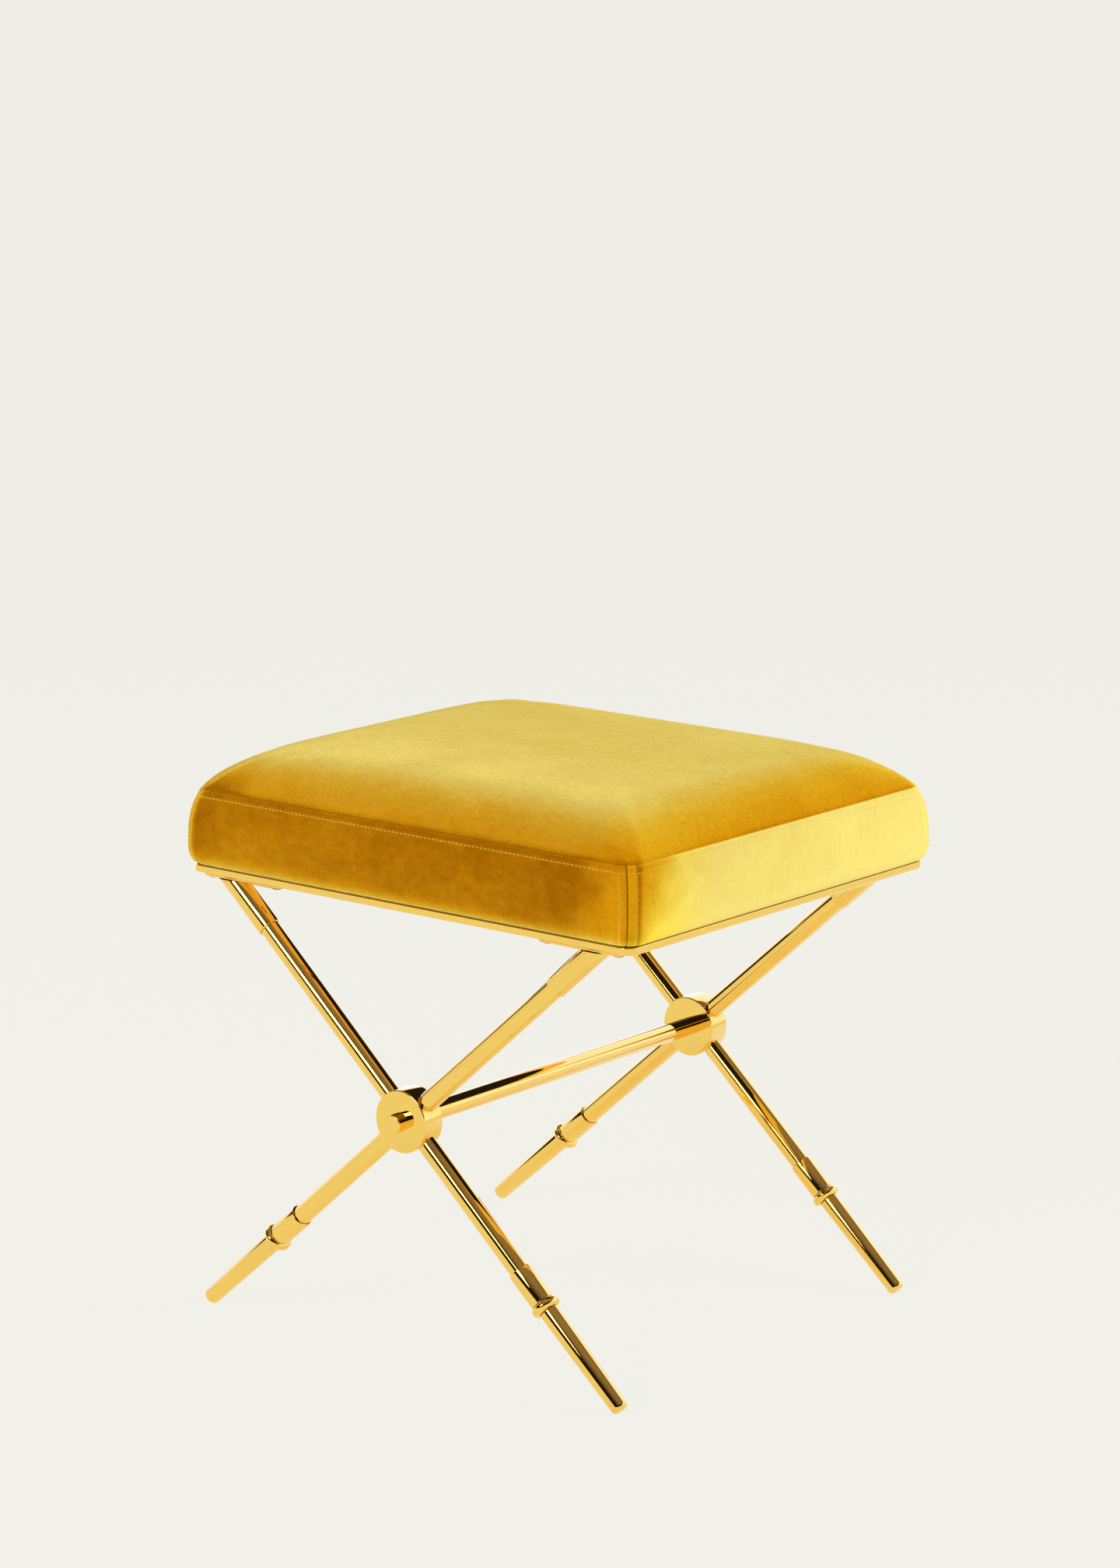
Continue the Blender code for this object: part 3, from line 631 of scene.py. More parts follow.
def velvet_finish():
    """Velvet with painted light and shade, brushed patches, grain, and sheen partly painted into its colour.
    """
    material, tree, shader = new_finish("mustard velvet")
    marks = use_group(tree, cloth, Vector=on_piece(tree), Brush_Scale=15.0, Grain_Scale=700.0)
    # Painted light and shade that the mesh carries at its points.
    painted_lighting = painted(tree, "painted_lighting")
    # Painted sheen: the colour is painted paler where the surface is seen at a glancing angle.
    facing = add_node(tree, "ShaderNodeLayerWeight", {"Blend": 0.5})["Facing"]
    glancing = ramp(tree, facing, *GLANCE_RANGE, *GLANCE_PAINTED_SHEEN)
    brushed = ramp(tree, marks["Brushed"], 0.0, 1.0, *BRUSH_LAY)
    shade = tree.nodes.new("ShaderNodeValToRGB")
    feed(tree, shade, {"Fac": sums(tree, "ADD", sums(tree, "ADD", glancing, painted_lighting), brushed)})
    stops = shade.color_ramp.elements
    while len(stops) < len(PILE_AND_LIGHT_COLOURS):
        stops.new(0.5)
    for stop, (position, colour) in zip(stops, PILE_AND_LIGHT_COLOURS.items()):
        stop.position = position
        stop.color = colour
    # The grain is flattened where the painted light is strong.
    lit_grain_fade = ramp(tree, painted_lighting, *FLAT_GRAIN_LIGHTING, *FLAT_GRAIN)
    grain = ramp(tree, marks["Grain"], 0.0, 1.0, sums(tree, "ADD", lit_grain_fade, GRAIN_SHADE[0]),
                 sums(tree, "SUBTRACT", GRAIN_SHADE[1], lit_grain_fade))
    # Painted shade: the colour is deepened where the mesh carries it.
    pile = mix_colour(tree, painted(tree, "painted_shade"), shade.outputs["Color"], PAINTED_SHADE_TINT, "MULTIPLY")
    feed(tree, shader, {"Base Color": mix_colour(tree, 1.0, pile, grain, "MULTIPLY"),
                        "Roughness": ramp(tree, marks["Brushed"], 0.0, 1.0, *BRUSH_ROUGHNESS),
                        "Normal": raised(tree, marks["Grain"], strength=0.15, distance=0.0006),
                        "Specular IOR Level": 0.0, "Sheen Weight": 0.15, "Sheen Roughness": 0.4,
                        "Sheen Tint": (1.0, 0.80, 0.20, 1)})
    return material


velvet = velvet_finish()
print("finish:", velvet.name)

# %% [markdown]
# ## Cushion form
#
# The cushion is one closed skin in rows: a hem under the board, a fold, the boxing, the top seam and
# the crowned top. Rows and columns crowd together where seams and stitches will be sunk. The boxing is
# widest at the foot of the foam and is drawn in to the top seam; the top climbs quickly from the seam
# and then levels out. Each corner seam stands a little to one side, as hand-sewn ones do.

# %% Cushion sizes
HEM_HEIGHT = 0.3710
HEM_REACH = 0.026
RIM_HEIGHT = FRAME_TOP + FIT_GAP
RIM_REACH = 0.0075
RIM_END = 0.0095
FOLD = 0.0006
FOLD_STEPS = 6
FOLD_TOP = RIM_HEIGHT + FOLD
FOAM_FOOT = 0.3851
SEAM_HEIGHT = 0.4316
BOTTOM_INSET = 0.0006
BOTTOM_CORNER = 0.0145
BULGE = 0.005
BULGE_CORNER = 0.0135
SEAM_INSET = 0.002
SEAM_CORNER = 0.016
SIDE_DRAW = 3.0
CROWN = 0.0380
CROWN_REACH_LEFT = 0.0213
CROWN_REACH_RIGHT = 0.0220
CROWN_REACH_FRONT = 0.0200
CROWN_REACH_BACK = 0.0244
CORNER_FULLNESS = 0.95
CORNER_TUCK = 17.0
STITCH_DROP = 0.0055
STITCH_ASIDE = 0.0074
CORNER_SHIFTS = (-0.0025, -0.0025, 0.0025, 0.0)
SEAM_HALF = (FRAME_HALF[0] - SEAM_INSET, FRAME_HALF[1] - SEAM_INSET)
SEAM_TOUCH = 1e-6


def crown_share(x, y):
    """Height of the crown at a place, from 0 at the seam to about 1 in the middle."""
    sideways = CROWN_REACH_RIGHT if x > 0 else CROWN_REACH_LEFT
    lengthways = CROWN_REACH_BACK if y > 0 else CROWN_REACH_FRONT
    across = 1 - math.exp(min(abs(x) - SEAM_HALF[0], -SEAM_TOUCH) / sideways)
    along = 1 - math.exp(min(abs(y) - SEAM_HALF[1], -SEAM_TOUCH) / lengthways)
    both = across ** -CORNER_FULLNESS + along ** -CORNER_FULLNESS - 1
    return both ** (-1 / CORNER_FULLNESS)


def crown_height(seam_point, kept):
    """Height of the top on the way from a seam point to the middle."""
    tuck = crown_share(*seam_point) * kept ** CORNER_TUCK
    return SEAM_HEIGHT + CROWN * (crown_share(seam_point[0] * kept, seam_point[1] * kept) - tuck)


def side_section(drop):
    """Offset, corner radius and height of the boxing, at a distance below the seam."""
    height = SEAM_HEIGHT - drop
    if height >= FOAM_FOOT:
        share = ((height - FOAM_FOOT) / (SEAM_HEIGHT - FOAM_FOOT)) ** SIDE_DRAW
        offset = BULGE - (BULGE + SEAM_INSET) * share
        return offset, BULGE_CORNER + (SEAM_CORNER - BULGE_CORNER) * share, height
    share = math.sqrt(max(1 - ((FOAM_FOOT - height) / (FOAM_FOOT - FOLD_TOP)) ** 2, 0))
    offset = (BULGE + BOTTOM_INSET) * share - BOTTOM_INSET
    return offset, BOTTOM_CORNER + (BULGE_CORNER - BOTTOM_CORNER) * share, height


print(f"crown {CROWN * 1000:.1f} mm over a seam {SEAM_HEIGHT * 1000:.1f} mm up")

# %% Cushion rows and columns
COLUMN_PITCH = 0.006
FOOT_ROWS = 10
COLUMN_STEPS = [0, 0.0004, 0.0008, 0.0013, 0.002, 0.003, 0.0045, 0.006, 0.0068, STITCH_ASIDE, 0.008,
                0.0095, 0.012, 0.015, 0.019, 0.024]
DROPS = [0, 0.0004, 0.0008, 0.0013, 0.002, 0.003, 0.0042, 0.005, STITCH_DROP, 0.006, 0.0066, 0.0076,
         0.009, 0.0115, 0.0145, 0.018, 0.022, 0.0265, 0.0315, 0.037, 0.042, SEAM_HEIGHT - FOAM_FOOT]
DROPS += [SEAM_HEIGHT - FOLD_TOP - (FOAM_FOOT - FOLD_TOP) * (1 - math.sin(math.pi / 2 * step / FOOT_ROWS))
          for step in range(1, FOOT_ROWS + 1)]


def mirrored(stations, length):
    """Stations near one end of a side repeated at its other end, with even steps between."""
    near = [station for station in stations if station < length / 2]
    gap = length - 2 * near[-1]
    count = max(round(gap / COLUMN_PITCH), 2)
    middle = [near[-1] + gap * step / count for step in range(1, count)]
    return near + middle + [length - station for station in near[:0:-1]]


COLUMNS = []
for side in range(len(SIDE_NAMES)):
    length = side_length(SEAM_HALF, SEAM_CORNER, side)
    COLUMNS += [(side, station / length, min(station, length - station))
                for station in mirrored(COLUMN_STEPS, length)]


def cover_row(offset, corner, height):
    """Row of the cover, offset from the frame's edge."""
    half = (FRAME_HALF[0] + offset, FRAME_HALF[1] + offset)
    row = []
    for side, share, _ in COLUMNS:
        length = side_length(half, corner, side)
        shift = CORNER_SHIFTS[side] * (1 - share) + CORNER_SHIFTS[(side + 1) % 4] * share
        distance = share * length + shift
        if distance < 0:
            side = (side - 1) % 4
            distance += side_length(half, corner, side)
        elif distance > length:
            side = (side + 1) % 4
            distance -= length
        row.append(Vector((*on_edge(half, corner, side, distance), height)))
    return row


side_rows = [cover_row(*side_section(drop)) for drop in DROPS]
fold = arc((-BOTTOM_INSET - FOLD, FOLD_TOP), (FOLD, -FOLD), 0, 90, FOLD_STEPS)
fold_rows = [cover_row(offset, BOTTOM_CORNER + BOTTOM_INSET + offset, height) for offset, height in fold[1:]]
hem_rows = [cover_row(-inset, BOTTOM_CORNER - RIM_REACH, height)
            for inset, height in ((RIM_REACH, RIM_HEIGHT), (RIM_END, HEM_HEIGHT), (HEM_REACH, HEM_HEIGHT))]
print(f"{len(COLUMNS)} columns, {len(side_rows)} boxing rows")

# %% Top rows
TOP_STEPS = [0.0005, 0.001, 0.0016, 0.0024, 0.0034, 0.0047, 0.0063, 0.0083, 0.0107, 0.0135, 0.0168, 0.0206,
             0.025, 0.03, 0.0357, 0.0421, 0.0493, 0.0573, 0.066, 0.0755, 0.0858, 0.0968, 0.1085, 0.1208,
             0.1335, 0.1465, 0.1595, 0.1722]
COARSE_FROM = 0.09


def top_row(seam_points, inward):
    """Row of the top, a distance in from the seam."""
    kept = 1 - inward / SEAM_HALF[1]
    return [Vector((point.x * kept, point.y * kept, crown_height(point, kept))) for point in seam_points]


fine_top = [Vector(point[:2]) for point in even_loop(SEAM_HALF, SEAM_CORNER, 0, per_corner=6, per_run=44)]
coarse_top = fine_top[::2]
top_rows = [top_row(fine_top if inward < COARSE_FROM else coarse_top, inward) for inward in TOP_STEPS]
print(f"{len(top_rows)} top rows of {len(fine_top)} and {len(coarse_top)} points")

# %% Cushion mesh
def unrolled(row):
    """Row that starts at its lowest turn, and its turns, with the corners on the diagonals."""
    turns = [math.atan2(vertex.co.y / SEAM_HALF[1], vertex.co.x / SEAM_HALF[0]) for vertex in row]
    start = min(range(len(row)), key=turns.__getitem__)
    turns = turns[start:] + turns[:start]
    return row[start:] + row[:start], turns + [turns[0] + 2 * math.pi]


def zip_rows(bm, first, second):
    """Triangles between two closed rows with unlike counts, matched by their turns."""
    first, first_turns = unrolled(first)
    second, second_turns = unrolled(second)
    i = j = 0
    while i < len(first) or j < len(second):
        here_first = first[i % len(first)]
        here_second = second[j % len(second)]
        first_is_next = i < len(first) and (j >= len(second) or first_turns[i + 1] <= second_turns[j + 1])
        if first_is_next:
            i += 1
            bm.faces.new((here_first, first[i % len(first)], here_second))
        else:
            j += 1
            bm.faces.new((here_first, second[j % len(second)], here_second))


bm = bmesh.new()
rows = [[bm.verts.new(point) for point in row]
        for row in hem_rows[::-1] + fold_rows[::-1] + side_rows[::-1] + top_rows]
bm.verts.index_update()
for first, second in zip(rows, rows[1:]):
    if len(first) == len(second):
        join_loops(bm, first, second)
    else:
        zip_rows(bm, first, second)
bm.faces.new(rows[0])
peak = bm.verts.new((0, 0, crown_height(Vector((0, 0)), 0)))
for index, vertex in enumerate(rows[-1]):
    bm.faces.new((vertex, rows[-1][(index + 1) % len(rows[-1])], peak))
row_ids = [[vertex.index for vertex in row] for row in rows]
bottom_count = len(hem_rows) + len(fold_rows)
boxing_ids = row_ids[bottom_count:bottom_count + len(side_rows)][::-1]
boxing_points = [(index, side, aside, drop) for drop, ids in zip(DROPS, boxing_ids)
                 for (side, _, aside), index in zip(COLUMNS, ids)]
top_points = [(index, inward) for inward, ids in zip(TOP_STEPS, row_ids[bottom_count + len(side_rows):])
              for index in ids]
cushion_mesh = finished_mesh(bm, "cushion", math.radians(180))
print(f"cushion: {len(cushion_mesh.vertices)} points, {len(cushion_mesh.polygons)} faces")

# %% [markdown]
# ## Stuffing
#
# A cushion is tight over its foam, and cloth simulation shows how: a copy is remeshed evenly, pressed
# from inside, and held where it is sewn and stapled. The copy starts a little slack. What comes back
# is only a share of the swelling, read off the copy and given to the finer mesh, whose seams the
# remesh would have lost.

# %% Stuffing
SLACK = 0.004
SLACK_REACH = 0.045
SWELL_CAP = 0.024
SWELL_SHARE = 0.2
TOP_START = 0.002
HELD_REACH = 0.006
VOXEL = 0.006
PRESS_FRAMES = 20
NEAR_POINTS = 6
NEAR_SOFTNESS = 0.001
CLOTH_SETTINGS = {"quality": 3, "mass": 0.3, "tension_stiffness": 12, "compression_stiffness": 12,
                  "shear_stiffness": 6, "bending_stiffness": 0.6, "use_pressure": True,
                  "uniform_pressure_force": 4, "vertex_group_mass": "held"}


def eased(share):
    """Share held between 0 and 1, with soft ends."""
    share = max(min(share, 1.0), 0.0)
    return share * share * (3 - 2 * share)


def held_distance(point):
    """Distance from what holds the cloth: the top seam, the corner seams and the hem."""
    inside = max(min(SEAM_HALF[0] - abs(point.x), SEAM_HALF[1] - abs(point.y)), 0)
    to_seam = abs(point.z - SEAM_HEIGHT) + inside
    if point.z > SEAM_HEIGHT + TOP_START:
        return to_seam
    to_hem = max(point.z - HEM_HEIGHT, 0)
    to_corner = math.hypot(FRAME_HALF[0] - abs(point.x), FRAME_HALF[1] - abs(point.y))
    return min(to_seam, to_hem, to_corner)


def slack_depth(point):
    """How far the slack cloth lies inside the full form."""
    return SLACK * eased(held_distance(point) / SLACK_REACH)


def simulated_swell(mesh):
    """Start points of a remeshed slack copy, and where pressure takes each one."""
    copy = bpy.data.objects.new("stuffing", mesh.copy())
    scene.collection.objects.link(copy)
    for vertex in copy.data.vertices:
        vertex.co -= vertex.normal * slack_depth(vertex.co)
    remesh = copy.modifiers.new("even", "REMESH")
    remesh.mode = "VOXEL"
    remesh.voxel_size = VOXEL
    even = bpy.data.meshes.new_from_object(copy.evaluated_get(bpy.context.evaluated_depsgraph_get()))
    copy.modifiers.clear()
    copy.data = even
    starts = [vertex.co.copy() for vertex in even.vertices]
    held = copy.vertex_groups.new(name="held")
    held.add([i for i, point in enumerate(starts) if held_distance(point) < HELD_REACH], 1.0, "REPLACE")
    press = copy.modifiers.new("press", "CLOTH")
    for name, value in CLOTH_SETTINGS.items():
        setattr(press.settings, name, value)
    press.settings.effector_weights.gravity = 0
    press.point_cache.frame_start = 1
    press.point_cache.frame_end = PRESS_FRAMES
    for number in range(1, PRESS_FRAMES + 1):
        scene.frame_set(number)
    pressed = copy.evaluated_get(bpy.context.evaluated_depsgraph_get()).to_mesh()
    moves = [vertex.co - start for vertex, start in zip(pressed.vertices, starts)]
    bpy.data.objects.remove(copy)
    scene.frame_set(1)
    return starts, moves


def stuffed(mesh):
    """Give the swelling to the fine mesh."""
    starts, moves = simulated_swell(mesh)
    tree = kdtree.KDTree(len(starts))
    for index, point in enumerate(starts):
        tree.insert(point, index)
    tree.balance()
    places = []
    for vertex in mesh.vertices:
        slack = vertex.normal * slack_depth(vertex.co)
        near = tree.find_n(vertex.co - slack, NEAR_POINTS)
        weights = [1 / (distance + NEAR_SOFTNESS) for _, _, distance in near]
        pulls = (moves[index] * weight for (_, index, _), weight in zip(near, weights))
        move = sum(pulls, Vector()) / sum(weights)
        if move.length > SWELL_CAP:
            move *= SWELL_CAP / move.length
        places.append(vertex.co + (move - slack) * SWELL_SHARE)
    for vertex, place in zip(mesh.vertices, places):
        vertex.co = place
    return max(move.length for move in moves)


print(f"stuffing moved the cloth by up to {stuffed(cushion_mesh) * 1000:.1f} mm")

# %% [markdown]
# ## Seams
#
# A seam is where two panels turn in and meet, so it is a narrow valley, and the strip between a seam
# and its row of stitches stands a little proud because the turned edges lie under it. Each point is
# sunk or lifted along its normal by how far it is from the seams. A valley has a depth and a width.

# %% Seams
SEAM_VALLEY = (0.0006, 0.0008)
STITCH_VALLEY = (0.00040, 0.0010)
SEAM_STRIP = 0.0002
CORNER_VALLEY = (0.0008, 0.0005)
CORNER_STITCH_VALLEY = (0.00035, 0.0009)
CORNER_STRIP = 0.0001
CORNER_FADE = 0.001
TOP_VALLEY = (0.0005, 0.0010)


def bell(distance, width):
    """Bell curve, 1 in its middle."""
    return math.exp(-(distance / width) ** 2)


def valley(distance, depth, width):
    """Depth of a valley at a distance from its middle."""
    return depth * bell(distance, width)


def strip(distance, edge, height):
    """Lift of the doubled strip between a seam and its stitches."""
    if distance >= edge:
        return 0.0
    share = distance / edge
    return height * 4 * share * (1 - share)


sunk_points = {}
normals = [vertex.normal.copy() for vertex in cushion_mesh.vertices]
for index, _, aside, drop in boxing_points:
    seam = valley(drop, *SEAM_VALLEY) + valley(drop - STITCH_DROP, *STITCH_VALLEY)
    seam -= strip(drop, STITCH_DROP, SEAM_STRIP)
    upright = valley(aside, *CORNER_VALLEY) + valley(aside - STITCH_ASIDE, *CORNER_STITCH_VALLEY)
    upright -= strip(aside, STITCH_ASIDE, CORNER_STRIP)
    sunk_points[index] = seam + min(drop / CORNER_FADE, 1.0) * upright
for index, inward in top_points:
    sunk_points[index] = valley(inward, *TOP_VALLEY)
for index, depth in sunk_points.items():
    cushion_mesh.vertices[index].co -= normals[index] * depth
cushion_mesh.update()
print(f"sank up to {max(sunk_points.values()) * 1000:.2f} mm at the seams")

# %% [markdown]
# ## Painted light and shade
#
# Light and shade are painted into the pile's tone point by point. The right band is painted pale, as lit
# from the right, and deepens in painted shade to the near corner. The front, back and left bands are deep.
# The top is pale in its middle and deep in painted shade along its side seams. The seams' creases get
# painted shade, the foot gets painted light from the floor, and the fold is paler, partly from the floor's
# light and partly from how the pile lies there. A drift of soft noise keeps the edges of these zones from
# running straight, as a hand would.

# %% Painted light and shade on the boxing
FRONT_SIDE = SIDE_NAMES.index("front")
RIGHT_SIDE = SIDE_NAMES.index("right")
# Painted light: the right band is painted pale, as lit from the right, and deepens in painted shade towards
# the near corner. Its strip by the corner seam is painted paler still.
SIDE_PAINTED_LIGHT = (0.06, 0.62)
SIDE_LIGHT_REACH_NEAR = 0.068
SIDE_LIGHT_REACH_FAR = 0.002
SIDE_LIGHT_SLANT = (1.2, 0.7)
SIDE_STRIP_PAINTED_LIGHT = 0.28
# Painted light near the right-hand corners of the front and back bands, and a little painted shade near the
# left-hand ones.
CORNER_PAINTED_LIGHT_RIGHT = 0.25
CORNER_PAINTED_SHADE_LEFT = -0.05
CORNER_LIGHTING_REACH = 0.060
# Painted shade: darker along the corner seams and the top seam, where their creases are, and on the strip
# under the top seam.
CORNER_SEAM_PAINTED_SHADE = -0.55
CORNER_SEAM_WIDTH = 0.0005
SEAM_PAINTED_SHADE = -0.14
SEAM_WIDTH = 0.0012
STRIP_PAINTED_SHADE = -0.04
STRIP_EDGE = 0.001
STRIP_SOFTNESS = 0.002
# Painted light: the band is painted paler towards its foot, where it curves under towards the floor. The
# fold and hem are painted paler too, partly as light from the floor and partly for the way the pile lies
# there.
FOOT_PAINTED_LIGHT = 0.10
FOOT_LIGHT_DROP = 0.050
FOOT_LIGHT_REACH = 0.012
FOLD_NAP_AND_LIGHT = 0.25
BOXING_DRIFT = (0.5, 38)
# Painted shade: the colour is painted deeper by the near upright edge, on the right and front bands.
FRONT_PAINTED_SHADE = 0.6
FRONT_PAINTED_SHADE_REACH = 0.060
RIGHT_PAINTED_SHADE_REACH = 0.110


def drift_at(point, strength, scale):
    """Factor near 1 that drifts from place to place."""
    return 1 + strength * noise.noise(point * scale)


def near(distance, reach):
    """1 at a place, easing to 0 at a reach."""
    return eased(1 - distance / reach)


def boxing_painted_lighting(point, side, aside, drop):
    """Painted light and shade on the boxing: pale on the right, where the light falls, deep on the other
    sides.
    """
    drift = drift_at(point, *BOXING_DRIFT)
    lighting = STRIP_PAINTED_SHADE * eased((STITCH_DROP - drop) / STRIP_SOFTNESS)
    lighting += CORNER_SEAM_PAINTED_SHADE * bell(aside, CORNER_SEAM_WIDTH)
    if side == RIGHT_SIDE:
        reach = SIDE_LIGHT_REACH_NEAR if point.y < 0 else SIDE_LIGHT_REACH_FAR
        reach *= SIDE_LIGHT_SLANT[0] - SIDE_LIGHT_SLANT[1] * drop / (SEAM_HEIGHT - FOLD_TOP)
        lighting += SIDE_PAINTED_LIGHT[0] + (SIDE_PAINTED_LIGHT[1] - SIDE_PAINTED_LIGHT[0]) * eased(aside * drift / reach)
        return lighting + SIDE_STRIP_PAINTED_LIGHT * eased((STITCH_ASIDE + STRIP_EDGE - aside) / STRIP_SOFTNESS)
    lighting += SEAM_PAINTED_SHADE * bell(drop, SEAM_WIDTH)
    corner = CORNER_PAINTED_LIGHT_RIGHT if point.x > 0 else CORNER_PAINTED_SHADE_LEFT
    lighting += corner * near(aside * drift, CORNER_LIGHTING_REACH)
    return lighting + FOOT_PAINTED_LIGHT * eased((drop - FOOT_LIGHT_DROP) / FOOT_LIGHT_REACH)


def boxing_painted_shade(point, side, aside):
    """How much painted shade deepens the colour on the boxing, by the near upright edge."""
    if side == RIGHT_SIDE and point.y < 0:
        return near(aside, RIGHT_PAINTED_SHADE_REACH)
    if side == FRONT_SIDE and point.x > 0:
        return FRONT_PAINTED_SHADE * near(aside, FRONT_PAINTED_SHADE_REACH)
    return 0.0


places = [vertex.co for vertex in cushion_mesh.vertices]
painted_lighting_values = [FOLD_NAP_AND_LIGHT] * len(places)
painted_shade_values = [0.0] * len(places)
# Each boxing point gets its painted light and shade.
for index, side, aside, drop in boxing_points:
    painted_lighting_values[index] = boxing_painted_lighting(places[index], side, aside, drop)
    painted_shade_values[index] = boxing_painted_shade(places[index], side, aside)
print(f"boxing brushed at {len(boxing_points)} points")

# %% Painted light and shade on the top, and the cushion piece
# Painted light and shade on the top: deep in painted shade along the side seams, most on the left, away from
# the light, and painted paler in the middle, to the front and by the near corner.
TOP_PAINTED_LIGHT = 0.03
EDGE_PAINTED_SHADE = -0.07
EDGE_SHADE_REACH = 0.080
EDGE_SHADE_FADE = 0.16
LEFT_PAINTED_SHADE = -0.45
LEFT_SHADE_REACH = 0.060
FRONT_PAINTED_LIGHT = 0.12
FRONT_LIGHT_REACH = 0.17
NEAR_PAINTED_LIGHT = 0.05
NEAR_LIGHT_REACH = 0.10
TOP_DRIFT = (0.4, 26)
# Painted shade: the top's colour is painted deeper along the right seam.
TOP_PAINTED_SHADE_REACH = 0.060


def top_painted_lighting(point, inward):
    """Painted light and shade on the top: deep along the side seams, a little paler to the front."""
    drift = drift_at(point, *TOP_DRIFT)
    lighting = TOP_PAINTED_LIGHT + SEAM_PAINTED_SHADE * bell(inward, SEAM_WIDTH)
    edge = EDGE_PAINTED_SHADE * eased((point.y + SEAM_HALF[1]) / EDGE_SHADE_FADE)
    lighting += edge * near((SEAM_HALF[0] - abs(point.x)) * drift, EDGE_SHADE_REACH)
    lighting += LEFT_PAINTED_SHADE * near((SEAM_HALF[0] + point.x) * drift, LEFT_SHADE_REACH)
    to_near = math.hypot(SEAM_HALF[0] - point.x, SEAM_HALF[1] + point.y)
    lighting += NEAR_PAINTED_LIGHT * near(to_near, NEAR_LIGHT_REACH)
    return lighting + FRONT_PAINTED_LIGHT * eased(-point.y * drift / FRONT_LIGHT_REACH)


def top_painted_shade(point):
    """How much painted shade deepens the colour on the top, along the right seam."""
    return near(SEAM_HALF[0] - point.x, TOP_PAINTED_SHADE_REACH)


def paint(mesh, name, values):
    """Give the mesh a value at each of its points."""
    mesh.attributes.new(name, "FLOAT", "POINT").data.foreach_set("value", values)


for index, inward in top_points:
    painted_lighting_values[index] = top_painted_lighting(places[index], inward)
    painted_shade_values[index] = top_painted_shade(places[index])
painted_lighting_values[-1] = top_painted_lighting(places[-1], SEAM_HALF[1])
paint(cushion_mesh, "painted_lighting", painted_lighting_values)
paint(cushion_mesh, "painted_shade", painted_shade_values)
cushion = add_piece("velvet_cushion", cushion_mesh, velvet,
                    ["velvet_top", *[f"velvet_band_{name}" for name in SIDE_NAMES], "foam_core"])
print("cushion placed")

# %% [markdown]
# ## Stitches
#
# The topstitching is real thread: short capsules laid end to end along the sunk rows, a row under the
# top seam all round and one on each side of every corner seam. The rows and columns of the cushion
# already run along those lines, so the thread follows their points. On the right band it is painted
# pale, with that band's painted light, and deeper by the near edge, in painted shade.

# %% Stitches
STITCH_PITCH = 0.0040
STITCH_LENGTH = 0.0031
STITCH_STEPS = 6
STITCH_START = 0.0085
STITCH_END = 0.004
THREAD_RADIUS = 0.00042
THREAD_SIDES = 8
THREAD_LIFT = (-0.7, 1.5)
THREAD_GIRTH = (0.35, 0.65)
TINY = 1e-9


def along_line(points, closed):
    """Reader of points and normals at a distance along a line, and the line's length."""
    steps = points + points[:1] if closed else points
    lengths = [0.0]
    for (first, _), (second, _) in zip(steps, steps[1:]):
        lengths.append(lengths[-1] + (second - first).length)

    def read(distance):
        index = max(i for i in range(len(lengths) - 1) if lengths[i] <= distance + TINY)
        span = max(lengths[index + 1] - lengths[index], TINY)
        share = min((distance - lengths[index]) / span, 1.0)
        first, second = steps[index], steps[index + 1]
        return first[0].lerp(second[0], share), first[1].lerp(second[1], share).normalized()
    return read, lengths[-1]


def add_stitch(bm, start, end, normal):
    """One stitch: a thread that dips into the cloth at both ends."""
    run = end - start
    sideways = run.cross(normal).normalized()
    rings = []
    for step in range(STITCH_STEPS + 1):
        share = step / STITCH_STEPS
        arch = math.sin(math.pi * share)
        lift = THREAD_RADIUS * (THREAD_LIFT[0] + THREAD_LIFT[1] * arch)
        girth = THREAD_RADIUS * (THREAD_GIRTH[0] + THREAD_GIRTH[1] * math.sqrt(arch))
        centre = start + run * share + normal * lift
        circle = arc((0, 0), (girth, girth), 0, 360, THREAD_SIDES)[:-1]
        rings.append([bm.verts.new(centre + sideways * x + normal * y) for x, y in circle])
    skin(bm, rings)


def sew(bm, points, closed=False, first=0.0, last=0.0):
    """Row of stitches along a line."""
    read, length = along_line(points, closed)
    count = int((length - last - first) / STITCH_PITCH)
    pitch = (length - last - first) / count
    for number in range(count):
        start, normal = read(first + pitch * number)
        finish, _ = read(first + pitch * number + STITCH_LENGTH)
        add_stitch(bm, start, finish, normal)
    return count


points_of = [(vertex.co.copy(), vertex.normal.copy()) for vertex in cushion_mesh.vertices]
bm = bmesh.new()
seam_line = [points_of[index] for index in boxing_ids[DROPS.index(STITCH_DROP)]]
stitch_count = sew(bm, seam_line, closed=True)
for column, (_, _, aside) in enumerate(COLUMNS):
    if abs(aside - STITCH_ASIDE) < SEAM_TOUCH:
        upright_line = [points_of[ids[column]] for ids in boxing_ids]
        stitch_count += sew(bm, upright_line, first=STITCH_START, last=STITCH_END)
thread_mesh = finished_mesh(bm, "stitches")
print("stitches sewn:", stitch_count)

# %% Thread
THREAD_DARK = (0.55, 0.31, 0.020, 1)
THREAD_LIGHT = (0.67, 0.42, 0.060, 1)
# Painted light: the thread on the right band is painted as pale as that band.
PAINTED_LIGHT_THREAD = (0.85, 0.68, 0.17, 1)
PALE_THREAD_START = 0.214
PALE_THREAD_STEP = 0.006
PALE_THREAD_GAP = 0.012
PALE_THREAD_REACH = 0.050


def painted_light_share(point):
    """How much painted light the thread gets: as pale as the boxing on the right, and deeper by the near
    edge, in painted shade.
    """
    from_near = point.y + SEAM_HALF[1] - PALE_THREAD_GAP
    return eased((point.x - PALE_THREAD_START) / PALE_THREAD_STEP) * eased(from_near / PALE_THREAD_REACH)


